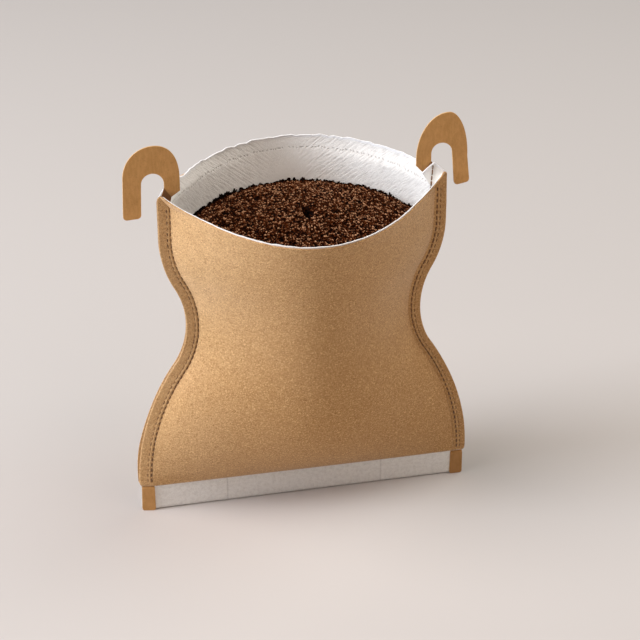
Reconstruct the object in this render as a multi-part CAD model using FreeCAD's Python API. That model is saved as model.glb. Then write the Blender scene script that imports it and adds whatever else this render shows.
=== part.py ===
import FreeCAD, Part

import math
import os

# A hanging-ear drip coffee bag, standing open and full of ground coffee.
#
# Millimetres, +Z up. The seam plane is y = 0, the front faces -Y and the floor is z = 0.
# Two kraft panels with a waisted outline lie over a white filter liner. The liner is one
# folded web: front wall, D-shaped floor and rear wall. Each side seam is a flat flange of
# kraft, liner, card, liner and kraft, held by two rows of stitches. The card is a die-cut
# hanger: a hook at the top, a strip inside the seam, and a foot that shows at the bottom.

Vector = FreeCAD.Vector

# Seam edge, seen from the front: half widths, heights, and how the arcs between them share.
HIP_HALF_WIDTH = 40.1
HIP_HEIGHT = 7.0
HIP_SHARE = 0.75
SHOULDER_HALF_WIDTH = 33.0
SHOULDER_DROP = 11.0
SHOULDER_SHARE = 0.55
WAIST_INSET = 5.5
WAIST_DROP = 32.5
CORNER_HEIGHT = 81.0
CORNER_RADIUS = 1.2

# Flange: its width, and how it narrows above the last stitch, where the mouth opens.
SEAM_WIDTH = 3.1
MOUTH_SEAM_WIDTH = 0.8
MOUTH_SEAM_LENGTH = 3.0

# How far each wall swells from the seam plane.
FRONT_BELLY = 13.4
FRONT_MOUTH = 22.6
FRONT_ROLL = 10.0
FRONT_FLARE_START = 30.0
REAR_BASE = 20.0
REAR_MOUTH = 25.5
REAR_FLARE_START = 30.0
REAR_SQUARENESS = 0.35

# Top edges: how far the middle of each lies below or above the corners, and its curve.
FRONT_RIM_DIP = 5.6
FRONT_RIM_POWER = 0.7
REAR_RIM_RISE = 2.1
REAR_RIM_POWER = 1.06
FRONT_LINER_LIP = 0.5
REAR_LINER_LIP = 0.6

# Sheets.
KRAFT = 0.35
LINER = 0.2
CARD = 0.36
LAYER_GAP = 0.03
PANEL_BOTTOM = 6.2
LINER_INSET = 0.3

# Tab of the liner that stands up over the neck of the right-hand hook, just below its crease.
TAB_OUTER_RISE = 0.5
TAB_MARGIN = 0.15
TAB_PEAK_OUTSET = 0.6
TAB_ROOT = 4.0

# Die-cut hangers. Heights of the hook are above the corner height.
STRIP_INSET = 0.5
STRIP_CLEARANCE = 0.2
FOOT_WIDTH = 3.5
FOOT_OVERLAP = 0.2
FOOT_RADIUS = 0.5
SLOT_WIDTH = 5.2
SLOT_TOP = 5.5
SLOT_OUTSET = 0.8
OUTER_LEG = 3.75
INNER_LEG = 3.2
ARCH_TOP = 11.8
ARCH_SPRING = 4.2
LEG_DROP = 4.9
LEG_RADIUS = 0.9
CREASE_LOW = -0.5
CREASE_HIGH = 1.9
CREASE_RUN = 1.6
LEG_CORNER = 0.9
NECK_DROP = 2.4
SCORE_DEPTH = 0.08
SCORE_WIDTH = 0.3
SCORE_OVERRUN = 1.0
# The two hooks were cut and folded up a little unevenly: how much higher and further in each
# stands, how much of that its crease follows, where the top of its arch lies from the slot,
# how full its inner and outer shoulders are, how much further its outer leg hangs and splays,
# and how much higher the leg's outer corner is than its inner one.
HANGERS = {
    "left": {"side": -1, "lift": 0.0, "shift": 0.0, "crease_lift": 0.0, "apex": -0.5,
             "shoulders": (0.71, 0.71), "drop": 0.3, "splay": 0.25, "heel": -0.3},
    "right": {"side": 1, "lift": 2.4, "shift": 2.15, "crease_lift": 0.9, "apex": 0.8,
              "shoulders": (0.69, 0.64), "drop": 0.8, "splay": 0.45, "heel": 0.7},
}

# Ground coffee.
COFFEE_GAP = 0.12
COFFEE_EDGE_GAP = 1.6
COFFEE_TOP_DROP = 5.8
COFFEE_DOME_RADIUS = 73.0
DIMPLE_RADIUS = 2.0
DIMPLE_DEPTH = 1.0
DIMPLE_FORWARD = 3.4

# Stitching: how far the two rows of each seam lie from its edge.
STITCH_ROWS = {"left": (1.95, 2.75), "right": (1.35, 2.1)}
STITCH_PITCH = 1.4
STITCH_LENGTH = 0.95
STITCH_WIDTH = 0.3
STITCH_HEIGHT = 0.15
STITCH_TOP_GAP = 3.0
STITCH_BOTTOM_GAP = 1.0

# Sections of a wall: points across it, and how closely they stand above the roll.
WALL_STEPS = 12
RIM_STEPS = 14
ROLL_SECTIONS = (0.0, 0.25, 0.55, 0.95, 1.5)
MIDDLE_SPANS = 7
REACH = HIP_HALF_WIDTH + 5.0
DEPTH = REAR_MOUTH + REAR_BASE
HEADROOM = 4.5

WAIST_HALF_WIDTH = SHOULDER_HALF_WIDTH - WAIST_INSET
WAIST_HEIGHT = CORNER_HEIGHT - WAIST_DROP
SHOULDER_HEIGHT = CORNER_HEIGHT - SHOULDER_DROP
PLY_LEVEL = CARD / 2 + LAYER_GAP
PANEL_OFFSET = LINER + LAYER_GAP
STITCH_LEVEL = PLY_LEVEL + PANEL_OFFSET + KRAFT


def edge_arcs(inset):
    """Tangent arcs of a seam edge, moved in by inset: end heights, centre, radius, sign."""
    arcs = []
    hip = (HIP_HALF_WIDTH, HIP_HEIGHT, HIP_SHARE)
    shoulder = (SHOULDER_HALF_WIDTH, SHOULDER_HEIGHT, SHOULDER_SHARE)
    for outer_x, outer_z, share in (hip, shoulder):
        step = outer_x - WAIST_HALF_WIDTH
        rise = WAIST_HEIGHT - outer_z
        both = (step ** 2 + rise ** 2) / (2 * step)
        outer_radius = share * both - inset
        waist_radius = (1 - share) * both + inset
        join = outer_z + rise * outer_radius / both
        outer_centre = (outer_x - share * both, outer_z)
        waist_centre = (WAIST_HALF_WIDTH + (1 - share) * both, WAIST_HEIGHT)
        arcs.append((outer_z, join, outer_centre, outer_radius, 1))
        arcs.append((join, WAIST_HEIGHT, waist_centre, waist_radius, -1))
    return arcs


def half_width(z, inset=0.0):
    """Distance from the middle to the seam edge at height z, less an inset square to it."""
    held = min(max(z, HIP_HEIGHT), SHOULDER_HEIGHT)
    for low, high, centre, radius, sign in edge_arcs(inset):
        if min(low, high) <= held <= max(low, high):
            return centre[0] + sign * math.sqrt(radius ** 2 - (held - centre[1]) ** 2)


def seam_width(z):
    """Width of the sealed flange: full below the mouth and narrow at its corners."""
    below = min(max((CORNER_HEIGHT - z) / MOUTH_SEAM_LENGTH, 0.0), 1.0)
    return MOUTH_SEAM_WIDTH + (SEAM_WIDTH - MOUTH_SEAM_WIDTH) * below


def flare(z, start, end):
    """Share of the mouth's extra swell that is reached at height z."""
    return max(0.0, (z - start) / (end - start)) ** 2


def front_bulge(z):
    """Front wall: flat up to the panel's lower edge, rolls out, then flares to the mouth."""
    above = max(0.0, z - PANEL_BOTTOM)
    belly = FRONT_BELLY * (1 - math.exp(-above / FRONT_ROLL))
    mouth = FRONT_MOUTH - FRONT_BELLY
    return belly + mouth * flare(z, FRONT_FLARE_START, CORNER_HEIGHT - FRONT_RIM_DIP)


def rear_bulge(z):
    """Rear wall: bowed from the floor up, so that the bag stands, and flared to the mouth."""
    mouth = REAR_MOUTH - REAR_BASE
    return REAR_BASE + mouth * flare(z, REAR_FLARE_START, CORNER_HEIGHT + REAR_RIM_RISE)


def chain(z, side, offset):
    """Section of one wall at height z: flange, crease, swelling wall, crease and flange.

    side is -1 for the front and 1 for the rear. offset moves the section outwards along
    its own normal, as each further layer lies."""
    width = half_width(z, seam_width(z))
    bulge = rear_bulge(z) if side > 0 else front_bulge(z)
    square = REAR_SQUARENESS if side > 0 else 0.0
    points = []
    for step in range(WALL_STEPS + 1):
        share = -math.cos(math.pi * step / WALL_STEPS)
        rise = bulge * (1 - share ** 2) * (1 + square * share ** 2)
        slope = 2 * share * bulge * (square - 1 - 2 * square * share ** 2) / width
        angle = math.atan(slope)
        across = width * share - offset * math.sin(angle)
        out = rise + offset * math.cos(angle)
        if step in (0, WALL_STEPS):
            across = share * (width + offset * math.tan(abs(angle) / 2))
            out = offset
        points.append(Vector(across, side * (PLY_LEVEL + out), z))
    level = side * (PLY_LEVEL + offset)
    return [Vector(-REACH, level, z)] + points + [Vector(REACH, level, z)]


def chain_edges(points):
    """Edges of a chain: a straight flange, one smooth wall and a straight flange."""
    wall = Part.BSplineCurve()
    shares = [-math.cos(math.pi * step / WALL_STEPS) for step in range(WALL_STEPS + 1)]
    wall.interpolate(Points=points[1:-1], Parameters=shares)
    first = Part.makeLine(points[0], points[1])
    last = Part.makeLine(points[-2], points[-1])
    return [first, wall.toShape(), last]


def ring(outer, inner):
    """Closed section between two chains."""
    edges = chain_edges(outer)
    edges.append(Part.makeLine(outer[-1], inner[-1]))
    edges.extend(reversed(chain_edges(inner)))
    edges.append(Part.makeLine(inner[0], outer[0]))
    return Part.Wire(Part.__sortEdges__(edges))


def panel_heights():
    """Heights of the sections above the panel's lower edge, closest where the form turns."""
    roll = [PANEL_BOTTOM + share * FRONT_ROLL for share in ROLL_SECTIONS]
    step = (CORNER_HEIGHT - MOUTH_SEAM_LENGTH - roll[-1]) / MIDDLE_SPANS
    middle = [roll[-1] + step * span for span in range(1, MIDDLE_SPANS + 1)]
    mouth = [CORNER_HEIGHT - MOUTH_SEAM_LENGTH / 2, CORNER_HEIGHT, CORNER_HEIGHT + HEADROOM]
    return roll + middle + mouth


def pillow(offset, bottom):
    """Everything between the front and rear walls, each moved out by offset."""
    low = [bottom, PANEL_BOTTOM]
    skirt = Part.makeLoft([ring(chain(z, -1, offset), chain(z, 1, offset)) for z in low], True)
    high = panel_heights()
    body = Part.makeLoft([ring(chain(z, -1, offset), chain(z, 1, offset)) for z in high], True)
    return skirt.fuse(body)


def side_edges(inset, side, bottom, top):
    """One seam edge from bottom to top, in the seam plane."""
    def at(z):
        return Vector(side * half_width(z, inset), 0, z)

    arcs = edge_arcs(inset)
    stops = [arcs[0][0], arcs[0][1], WAIST_HEIGHT, arcs[2][1], arcs[2][0]]
    edges = [Part.makeLine(at(bottom), at(stops[0]))]
    for low, high in zip(stops, stops[1:]):
        edges.append(Part.Arc(at(low), at((low + high) / 2), at(high)).toShape())
    edges.append(Part.makeLine(at(stops[-1]), at(top)))
    return edges


def round_corner(corner, before, after, radius):
    """Arc that rounds the corner between the points before and after it."""
    back = (before - corner).normalize()
    on = (after - corner).normalize()
    half = back.getAngle(on) / 2
    middle = (back + on).normalize() * (radius / math.sin(half) - radius)
    reach = radius / math.tan(half)
    return Part.Arc(corner + back * reach, corner + middle, corner + on * reach).toShape()


def outline_prism(inset, bottom, rise, power):
    """The seam outline with a curved top edge, cut right through from front to rear."""
    side_top = CORNER_HEIGHT - CORNER_RADIUS
    edge = SHOULDER_HALF_WIDTH - inset
    reach = edge - CORNER_RADIUS
    edges = side_edges(inset, 1, bottom, side_top) + side_edges(inset, -1, bottom, side_top)
    base = half_width(bottom, inset)
    edges.append(Part.makeLine(Vector(-base, 0, bottom), Vector(base, 0, bottom)))
    for side in (-1, 1):
        corner = Vector(side * edge, 0, CORNER_HEIGHT)
        start = Vector(side * edge, 0, side_top)
        end = Vector(side * reach, 0, CORNER_HEIGHT)
        edges.append(round_corner(corner, start, end, CORNER_RADIUS))
    points = []
    for step in range(RIM_STEPS + 1):
        share = -math.cos(math.pi * step / RIM_STEPS)
        height = CORNER_HEIGHT + rise * (1 - min(1.0, share ** 2)) ** power
        points.append(Vector(reach * share, 0, height))
    rim = Part.BSplineCurve()
    rim.interpolate(Points=points)
    edges.append(rim.toShape())
    face = Part.Face(Part.Wire(Part.__sortEdges__(edges)))
    face.translate(Vector(0, -DEPTH, 0))
    return face.extrude(Vector(0, 2 * DEPTH, 0))


def half_space(side):
    """Block on the front or the rear side of the seam plane."""
    block = Part.makeBox(2 * REACH, DEPTH, 2 * CORNER_HEIGHT)
    block.translate(Vector(-REACH, min(0, side) * DEPTH, -CORNER_HEIGHT / 2))
    return block


def kraft_panel(side):
    """Front or rear kraft panel: a sheet over the liner, cut to the seam outline."""
    rings = []
    for z in panel_heights():
        inner = chain(z, side, PANEL_OFFSET)
        outer = chain(z, side, PANEL_OFFSET + KRAFT)
        rings.append(ring(outer, inner))
    sheet = Part.makeLoft(rings, True)
    rise = REAR_RIM_RISE if side > 0 else -FRONT_RIM_DIP
    power = REAR_RIM_POWER if side > 0 else FRONT_RIM_POWER
    return sheet.common(outline_prism(0.0, PANEL_BOTTOM, rise, power))


def filter_bag():
    """Liner: front wall, floor and rear wall in one web, open at the mouth."""
    web = pillow(LINER, 0.0).cut(pillow(0.0, LINER))
    front_rise = FRONT_LINER_LIP - FRONT_RIM_DIP
    rear_rise = REAR_LINER_LIP + REAR_RIM_RISE
    front = outline_prism(LINER_INSET, 0.0, front_rise, FRONT_RIM_POWER)
    rear = outline_prism(LINER_INSET, 0.0, rear_rise, REAR_RIM_POWER)
    front_wall = web.common(front.common(half_space(-1)))
    rear_wall = web.common(rear.common(half_space(1)))
    web = front_wall.fuse(rear_wall)
    # The front ply stops at each foot, so that the card shows there.
    for side in (-1, 1):
        notch = Part.makeBox(REACH, DEPTH, PANEL_BOTTOM)
        inner = HIP_HALF_WIDTH - STRIP_INSET - FOOT_WIDTH + FOOT_OVERLAP
        left = inner if side > 0 else -inner - REACH
        notch.translate(Vector(left, PLY_LEVEL - DEPTH, 0))
        web = web.cut(notch)
    return web.fuse(liner_tab()).removeSplitter()


def liner_tab():
    """Flat tab of the front ply, over the neck of the right-hand hook up to its crease."""
    low = CORNER_HEIGHT - TAB_ROOT
    outer = SHOULDER_HALF_WIDTH - LINER_INSET
    inner = SHOULDER_HALF_WIDTH - SEAM_WIDTH
    hook = HANGERS["right"]
    crease_low, crease_high = crease_ends(1, hook["shift"], hook["crease_lift"])
    side_corner = crease_low - Vector(TAB_MARGIN, 0, TAB_MARGIN)
    peak = crease_high + Vector(TAB_PEAK_OUTSET, 0, -TAB_MARGIN)
    corners = [
        Vector(inner, 0, low),
        Vector(outer, 0, low),
        Vector(outer, 0, CORNER_HEIGHT + TAB_OUTER_RISE),
        peak,
        side_corner,
    ]
    tab = Part.Face(Part.makePolygon(corners + corners[:1]))
    tab.translate(Vector(0, -PLY_LEVEL - LINER, 0))
    return tab.extrude(Vector(0, LINER, 0))


def crease_ends(side, shift, crease_lift):
    """Lower and upper end of a hook's crease, which slants up to the slot's inner edge."""
    near = SHOULDER_HALF_WIDTH + SLOT_OUTSET - shift - SLOT_WIDTH / 2
    crease = CORNER_HEIGHT + crease_lift
    low = Vector(side * (near - CREASE_RUN), 0, crease + CREASE_LOW)
    return low, Vector(side * near, 0, crease + CREASE_HIGH)


def hook_face(side, lift, shift, crease_lift, apex, shoulders, drop, splay, heel):
    """Flat outline of one hook, from its crease up over the slot and down the outer leg."""
    centre = SHOULDER_HALF_WIDTH + SLOT_OUTSET - shift
    near = centre - SLOT_WIDTH / 2
    far = centre + SLOT_WIDTH / 2
    inner = near - INNER_LEG
    outer = far + OUTER_LEG
    top = centre + apex
    spring = CORNER_HEIGHT + ARCH_SPRING + lift
    crown = CORNER_HEIGHT + ARCH_TOP + lift
    slot_spring = CORNER_HEIGHT + SLOT_TOP + lift - SLOT_WIDTH / 2
    foot = CORNER_HEIGHT - LEG_DROP + lift - drop
    inner_shoulder, outer_shoulder = shoulders

    def at(across, z):
        return Vector(side * across, 0, z)

    def arch(edge, fullness):
        """Quarter of an oval from a leg's edge to the top of the arch."""
        middle = at(top + (edge - top) * fullness, spring + (crown - spring) * fullness)
        quarter = Part.BSplineCurve()
        across = Vector(side * (top - edge), 0, 0).normalize()
        quarter.interpolate(Points=[at(edge, spring), middle, at(top, crown)],
                            InitialTangent=Vector(0, 0, 1), FinalTangent=across)
        return quarter.toShape()

    crease_low, crease_high = crease_ends(side, shift, crease_lift)
    side_corner = at(inner, crease_low.z - CREASE_LOW + LEG_CORNER)
    slot_end = at(far, slot_spring)
    inner_heel = at(far + splay, foot)
    outer_heel = at(outer + splay, foot + heel)
    leg_top = at(outer, spring)
    inner_round = round_corner(inner_heel, slot_end, outer_heel, LEG_RADIUS)
    outer_round = round_corner(outer_heel, inner_heel, leg_top, LEG_RADIUS)
    edges = [
        Part.makeLine(crease_high, at(near, slot_spring)),
        Part.Arc(at(near, slot_spring), at(centre, slot_spring + SLOT_WIDTH / 2),
                 slot_end).toShape(),
        Part.makeLine(slot_end, inner_round.Vertexes[0].Point),
        inner_round,
        Part.makeLine(inner_round.Vertexes[-1].Point, outer_round.Vertexes[0].Point),
        outer_round,
        Part.makeLine(outer_round.Vertexes[-1].Point, leg_top),
        arch(outer, outer_shoulder),
        arch(inner, inner_shoulder),
        Part.makeLine(at(inner, spring), side_corner),
        Part.makeLine(side_corner, crease_low),
    ]
    # Below the crease the card runs on as a neck to the top of the strip in the seam.
    neck_top = CORNER_HEIGHT - NECK_DROP
    strip_outer = half_width(neck_top, STRIP_INSET)
    strip_inner = half_width(neck_top, SEAM_WIDTH - STRIP_CLEARANCE)
    corners = [crease_low, at(strip_inner, neck_top), at(strip_outer, neck_top), crease_high]
    edges += [Part.makeLine(a, b) for a, b in zip(corners, corners[1:])]
    return Part.Face(Part.Wire(Part.__sortEdges__(edges)))


def card_prism(face):
    """A flat outline in the seam plane, thickened to both sides into card."""
    face.translate(Vector(0, -CARD / 2, 0))
    return face.extrude(Vector(0, CARD, 0))


def hanger(side, shift, crease_lift, **hook):
    """Die-cut card hanger: hook, neck, strip inside the seam, and foot."""
    neck_top = CORNER_HEIGHT - NECK_DROP
    edges = side_edges(STRIP_INSET, side, 0.0, neck_top)
    edges += side_edges(SEAM_WIDTH - STRIP_CLEARANCE, side, 0.0, neck_top)
    for z in (0.0, neck_top):
        outer = side * half_width(z, STRIP_INSET)
        inner = side * half_width(z, SEAM_WIDTH - STRIP_CLEARANCE)
        edges.append(Part.makeLine(Vector(outer, 0, z), Vector(inner, 0, z)))
    strip = card_prism(Part.Face(Part.Wire(Part.__sortEdges__(edges))))
    foot = Part.makeBox(FOOT_WIDTH, CARD, PANEL_BOTTOM)
    outer = HIP_HALF_WIDTH - STRIP_INSET
    left = outer - FOOT_WIDTH if side > 0 else -outer
    foot.translate(Vector(left, -CARD / 2, 0))
    face = hook_face(side=side, shift=shift, crease_lift=crease_lift, **hook)
    card = strip.fuse([foot, card_prism(face)]).removeSplitter()
    lowest = []
    for edge in card.Edges:
        box = edge.BoundBox
        if box.ZMax < LAYER_GAP and box.XLength < LAYER_GAP and box.YLength > CARD / 2:
            lowest.append(edge)
    card = card.makeFillet(FOOT_RADIUS, lowest)
    # The crease is scored on the front face, right across the card.
    start, end = crease_ends(side, shift, crease_lift)
    along = (end - start).normalize()
    across = Vector(0, 1, 0).cross(along) * (SCORE_WIDTH / 2)
    face_level = Vector(0, -CARD / 2, 0)
    corners = [start - across, start + Vector(0, SCORE_DEPTH, 0), start + across]
    groove = Part.Face(Part.makePolygon(corners + corners[:1]))
    groove.translate(face_level - along * SCORE_OVERRUN)
    score = groove.extrude(along * (end.distanceToPoint(start) + 2 * SCORE_OVERRUN))
    return card.cut(score)


def coffee_grounds():
    """The charge of ground coffee: fills the liner up to a shallow dome with a dimple."""
    bottom = LINER + COFFEE_GAP
    fill = pillow(-COFFEE_GAP, bottom)
    inset = SEAM_WIDTH + COFFEE_EDGE_GAP
    fill = fill.common(outline_prism(inset, bottom, -FRONT_RIM_DIP, 1.0))
    top = CORNER_HEIGHT - COFFEE_TOP_DROP
    middle = (rear_bulge(top) - front_bulge(top)) / 2
    dome = Part.makeSphere(COFFEE_DOME_RADIUS, Vector(0, middle, top - COFFEE_DOME_RADIUS))
    dimple = Vector(0, middle - DIMPLE_FORWARD, top + DIMPLE_RADIUS - DIMPLE_DEPTH)
    dent = Part.makeSphere(DIMPLE_RADIUS, dimple)
    return fill.common(dome).cut(dent).removeSplitter()


def seam_stitching(side, rows):
    """Both rows of stitches of one side seam, on the front and on the rear kraft."""
    start = PANEL_BOTTOM + STITCH_BOTTOM_GAP
    end = CORNER_HEIGHT - STITCH_TOP_GAP - STITCH_LENGTH
    stitches = []
    for inset in rows:
        z = start
        while z < end:
            here = Vector(half_width(z, inset), 0, z)
            there = Vector(half_width(z + STITCH_LENGTH, inset), 0, z + STITCH_LENGTH)
            along = (there - here).normalize()
            for face in (-1, 1):
                bar = Part.makeBox(STITCH_WIDTH, STITCH_HEIGHT, STITCH_LENGTH)
                low = STITCH_LEVEL if face > 0 else -STITCH_LEVEL - STITCH_HEIGHT
                bar.translate(Vector(-STITCH_WIDTH / 2, low, 0))
                turn = FreeCAD.Rotation(Vector(0, 0, 1), Vector(side * along.x, 0, along.z))
                bar.Placement = FreeCAD.Placement(Vector(side * here.x, 0, z), turn).multiply(
                    bar.Placement)
                stitches.append(bar)
            z += STITCH_PITCH * along.z
    return Part.makeCompound(stitches)


def main():
    os.makedirs("parts", exist_ok=True)
    nodes = {
        "front_panel": kraft_panel(-1),
        "rear_panel": kraft_panel(1),
        "filter_bag": filter_bag(),
        "coffee_grounds": coffee_grounds(),
    }
    for name, hook in HANGERS.items():
        nodes[name + "_hanger"] = hanger(**hook)
        nodes[name + "_seam_stitching"] = seam_stitching(hook["side"], STITCH_ROWS[name])
    for name, shape in nodes.items():
        shape.exportStep("parts/" + name + ".step")
        print(name, len(shape.Solids), shape.isValid(), round(shape.Volume, 1))


main()
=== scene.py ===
import math

import bmesh
import bpy
import numpy as np
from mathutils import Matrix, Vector


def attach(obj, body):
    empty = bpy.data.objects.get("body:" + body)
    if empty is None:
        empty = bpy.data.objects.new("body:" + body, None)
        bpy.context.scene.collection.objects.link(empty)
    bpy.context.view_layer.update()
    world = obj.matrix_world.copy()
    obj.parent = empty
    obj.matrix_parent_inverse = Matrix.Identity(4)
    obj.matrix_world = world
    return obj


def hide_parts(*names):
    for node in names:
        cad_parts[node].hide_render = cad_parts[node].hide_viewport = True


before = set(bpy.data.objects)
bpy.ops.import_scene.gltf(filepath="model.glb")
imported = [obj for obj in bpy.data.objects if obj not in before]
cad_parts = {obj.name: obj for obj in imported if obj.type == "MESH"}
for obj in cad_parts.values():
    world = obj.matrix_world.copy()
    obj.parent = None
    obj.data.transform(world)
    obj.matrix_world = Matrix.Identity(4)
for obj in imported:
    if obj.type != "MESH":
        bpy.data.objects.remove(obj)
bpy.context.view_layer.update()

# A hanging-ear drip coffee bag: kraft panels over a white filter liner, sewn side seams with
# a die-cut card hanger in each, and a charge of ground coffee. Sizes are in millimetres until
# mesh_piece() turns them to metres. The seam plane is y = 0, the front faces -Y. A side of -1
# means the left seam or the front wall, a side of 1 the right seam or the rear wall.

MM = 0.001

# Seam edge.
HIP_HALF_WIDTH = 40.1
HIP_HEIGHT = 7.0
HIP_SHARE = 0.75
SHOULDER_HALF_WIDTH = 33.0
SHOULDER_HEIGHT = 70.0
SHOULDER_SHARE = 0.55
WAIST_HALF_WIDTH = 27.5
WAIST_HEIGHT = 48.5
CORNER_HEIGHT = 81.0
CORNER_RADIUS = 1.2
SEAM_WIDTH = 3.1
MOUTH_SEAM_WIDTH = 0.8
MOUTH_SEAM_LENGTH = 3.0

# Walls and their top edges.
FRONT_BELLY = 13.4
FRONT_MOUTH = 22.6
FRONT_ROLL = 10.0
REAR_BASE = 20.0
REAR_MOUTH = 25.5
FLARE_START = 30.0
REAR_SQUARENESS = 0.35
FRONT_RIM_DIP = 5.6
FRONT_RIM_POWER = 0.7
REAR_RIM_RISE = 2.1
REAR_RIM_POWER = 1.06
FRONT_LINER_LIP = 0.4
REAR_LINER_LIP = 0.6
LINER_INSET = 0.3
TAB_OUTER_RISE = 0.5
TAB_MARGIN = 0.15
TAB_PEAK_OUTSET = 0.6
TAB_ROOT = 4.0

# How the bag stands: its base slid back and turned, right end back, and its flanges are bent,
# by a slope that is positive where it goes back.
BASE_BACK = 0.4
BASE_SKEW = 0.85
LEFT_FLANGE_BEND = 0.2
RIGHT_FLANGE_BEND = -0.14

# Sheets.
KRAFT = 0.35
LINER = 0.2
CARD = 0.36
LAYER_GAP = 0.03
PANEL_BOTTOM = 6.7
PLY_LEVEL = CARD / 2 + LAYER_GAP
PANEL_OFFSET = LINER + LAYER_GAP
STITCH_LEVEL = PLY_LEVEL + PANEL_OFFSET + KRAFT
FLOOR_FOLD = 0.8
CUT_EDGE_PRESSED = 0.09
HEM_PRESSED = (0.12, 0.04)
LINER_FRAY = {-1: 0.05, 1: 0.13}
LINER_SLANT = 0.16

# Hangers.
STRIP_INSET = 0.5
STRIP_CLEARANCE = 0.2
FOOT_INSET = 0.3
FOOT_WIDTH = 3.2
FOOT_RADIUS = 0.6
FOOT_BENT = 0.55
SLOT_OUTSET = 0.8
ARCH_TOP = 11.8
LEG_DROP = 4.9
LEG_RADIUS = 0.9
LEG_CORNER = 0.9
CREASE_LOW = -0.5
CREASE_HIGH = 1.9
NECK_DROP = 2.4
CARD_BEVEL = 0.07
HOOK_LEAN = 0.03
# The hooks, cut and folded unevenly. lean is the neck's slope; lift and shift move the hook up
# and towards the middle; slot and slot_top size the slot, legs the card beside it. The arch's
# top lies apex to the side of the slot's middle, it starts to curve at spring, and shoulders
# say how full it is. The crease lies crease_lift higher and runs crease_run in from the slot.
# The outer leg is drop longer, splay further out and cut off at a slant by heel.
HOOKS = {
    "left": {"side": -1, "lean": -0.12, "lift": 0.0, "shift": 0.0, "slot": 5.0, "slot_top": 5.4,
             "legs": (3.55, 4.05), "apex": -0.5, "spring": 4.2, "shoulders": (0.735, 0.715),
             "crease_lift": 0.0, "crease_run": 1.6, "drop": 0.3, "splay": 0.25, "heel": -0.3},
    "right": {"side": 1, "lean": 0.2, "lift": 2.3, "shift": 1.8, "slot": 4.8, "slot_top": 4.6,
              "legs": (3.5, 3.65), "apex": 1.5, "spring": 1.1, "shoulders": (0.707, 0.707),
              "crease_lift": 0.85, "crease_run": 2.1, "drop": 0.7, "splay": 0.45, "heel": 0.7},
}

# Coffee.
COFFEE_GAP = 0.12
COFFEE_EDGE_GAP = 1.6
COFFEE_TOP_DROP = 5.8
COFFEE_DOME_RADIUS = 73.0
CLEFT_DEPTH = 2.2
CLEFT_HALF_WIDTH = 0.75
CLEFT_HALF_LENGTH = 2.8
CLEFT_FORWARD = 3.4
PEAK_PITCH = 1.7
PEAK_HEIGHT = 0.7
COFFEE_FLOOR = 0.32
GRAINS_PER_MM2 = 8
GRAIN_LENGTH = 0.62
GRAIN_ROUGHENING = 0.2
GRAIN_SINK = 0.25

# Stitching: how far the outer and the inner row lie from the edge of each seam, and how deep
# their stitches press the paper in.
STITCH_ROWS = {-1: (1.95, 2.75), 1: (1.35, 2.1)}
STITCH_SINKS = {-1: (0.12, 0.15), 1: (0.12, 0.19)}
STITCH_PITCH = 1.4
STITCH_LENGTH = 1.12
STITCH_TOP_GAP = 3.0
STITCH_BOTTOM_GAP = 1.0
THREAD = 0.26
THREAD_SUNK = 0.07
TAB_ROW_DROP = 3.6
TAB_ROW_FOOT = 29.3


# ---------------------------------------------------------------- colours and nodes

def linear(hexcode):
    """An sRGB hex colour as the linear values that a socket takes."""
    parts = [int(hexcode[i:i + 2], 16) / 255 for i in (1, 3, 5)]
    return [p / 12.92 if p <= 0.04045 else ((p + 0.055) / 1.055) ** 2.4 for p in parts] + [1.0]


def add(tree, kind, settings=None, inputs=None):
    """Adds a node, sets its properties, and fills or links its inputs by name or number. A node
    given for an input stands for its first output."""
    made = tree.nodes.new(kind)
    for name, value in (settings or {}).items():
        setattr(made, name, value)
    for name, value in (inputs or {}).items():
        socket = made.inputs[name]
        if isinstance(value, bpy.types.Node):
            value = value.outputs[0]
        if isinstance(value, bpy.types.NodeSocket):
            tree.links.new(value, socket)
        else:
            socket.default_value = value
    return made


def new_material(name):
    """An empty material and its tree."""
    material = bpy.data.materials.new(name)
    material.use_nodes = True
    material.node_tree.nodes.clear()
    return material, material.node_tree


def finished(material, surface):
    """The material with its shader and output. surface gives the shader's inputs."""
    shader = add(material.node_tree, "ShaderNodeBsdfPrincipled", None, surface)
    add(material.node_tree, "ShaderNodeOutputMaterial", None, {"Surface": shader})
    return material


def stained(tree, ground, colour, mark, low=0.0, high=1.0, share=1.0, smooth=False):
    """ground, turned towards colour by up to share as mark goes from low to high."""
    spread = {"interpolation_type": "SMOOTHSTEP"} if smooth else None
    much = add(tree, "ShaderNodeMapRange", spread,
               {"Value": mark, "From Min": low, "From Max": high, "To Max": share})
    return add(tree, "ShaderNodeMix", {"data_type": "RGBA"},
               {0: much, 6: ground, 7: linear(colour)}).outputs[2]


def line_at(tree, measure, place, core, edge):
    """A soft line where measure is at place: 1 within core of it and 0 beyond edge."""
    off = add(tree, "ShaderNodeMath", {"operation": "SUBTRACT"}, {0: measure, 1: place})
    off = add(tree, "ShaderNodeMath", {"operation": "ABSOLUTE"}, {0: off})
    return add(tree, "ShaderNodeMapRange", {"interpolation_type": "SMOOTHSTEP"},
               {"Value": off, "From Min": core, "From Max": edge, "To Min": 1.0, "To Max": 0.0})


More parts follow.
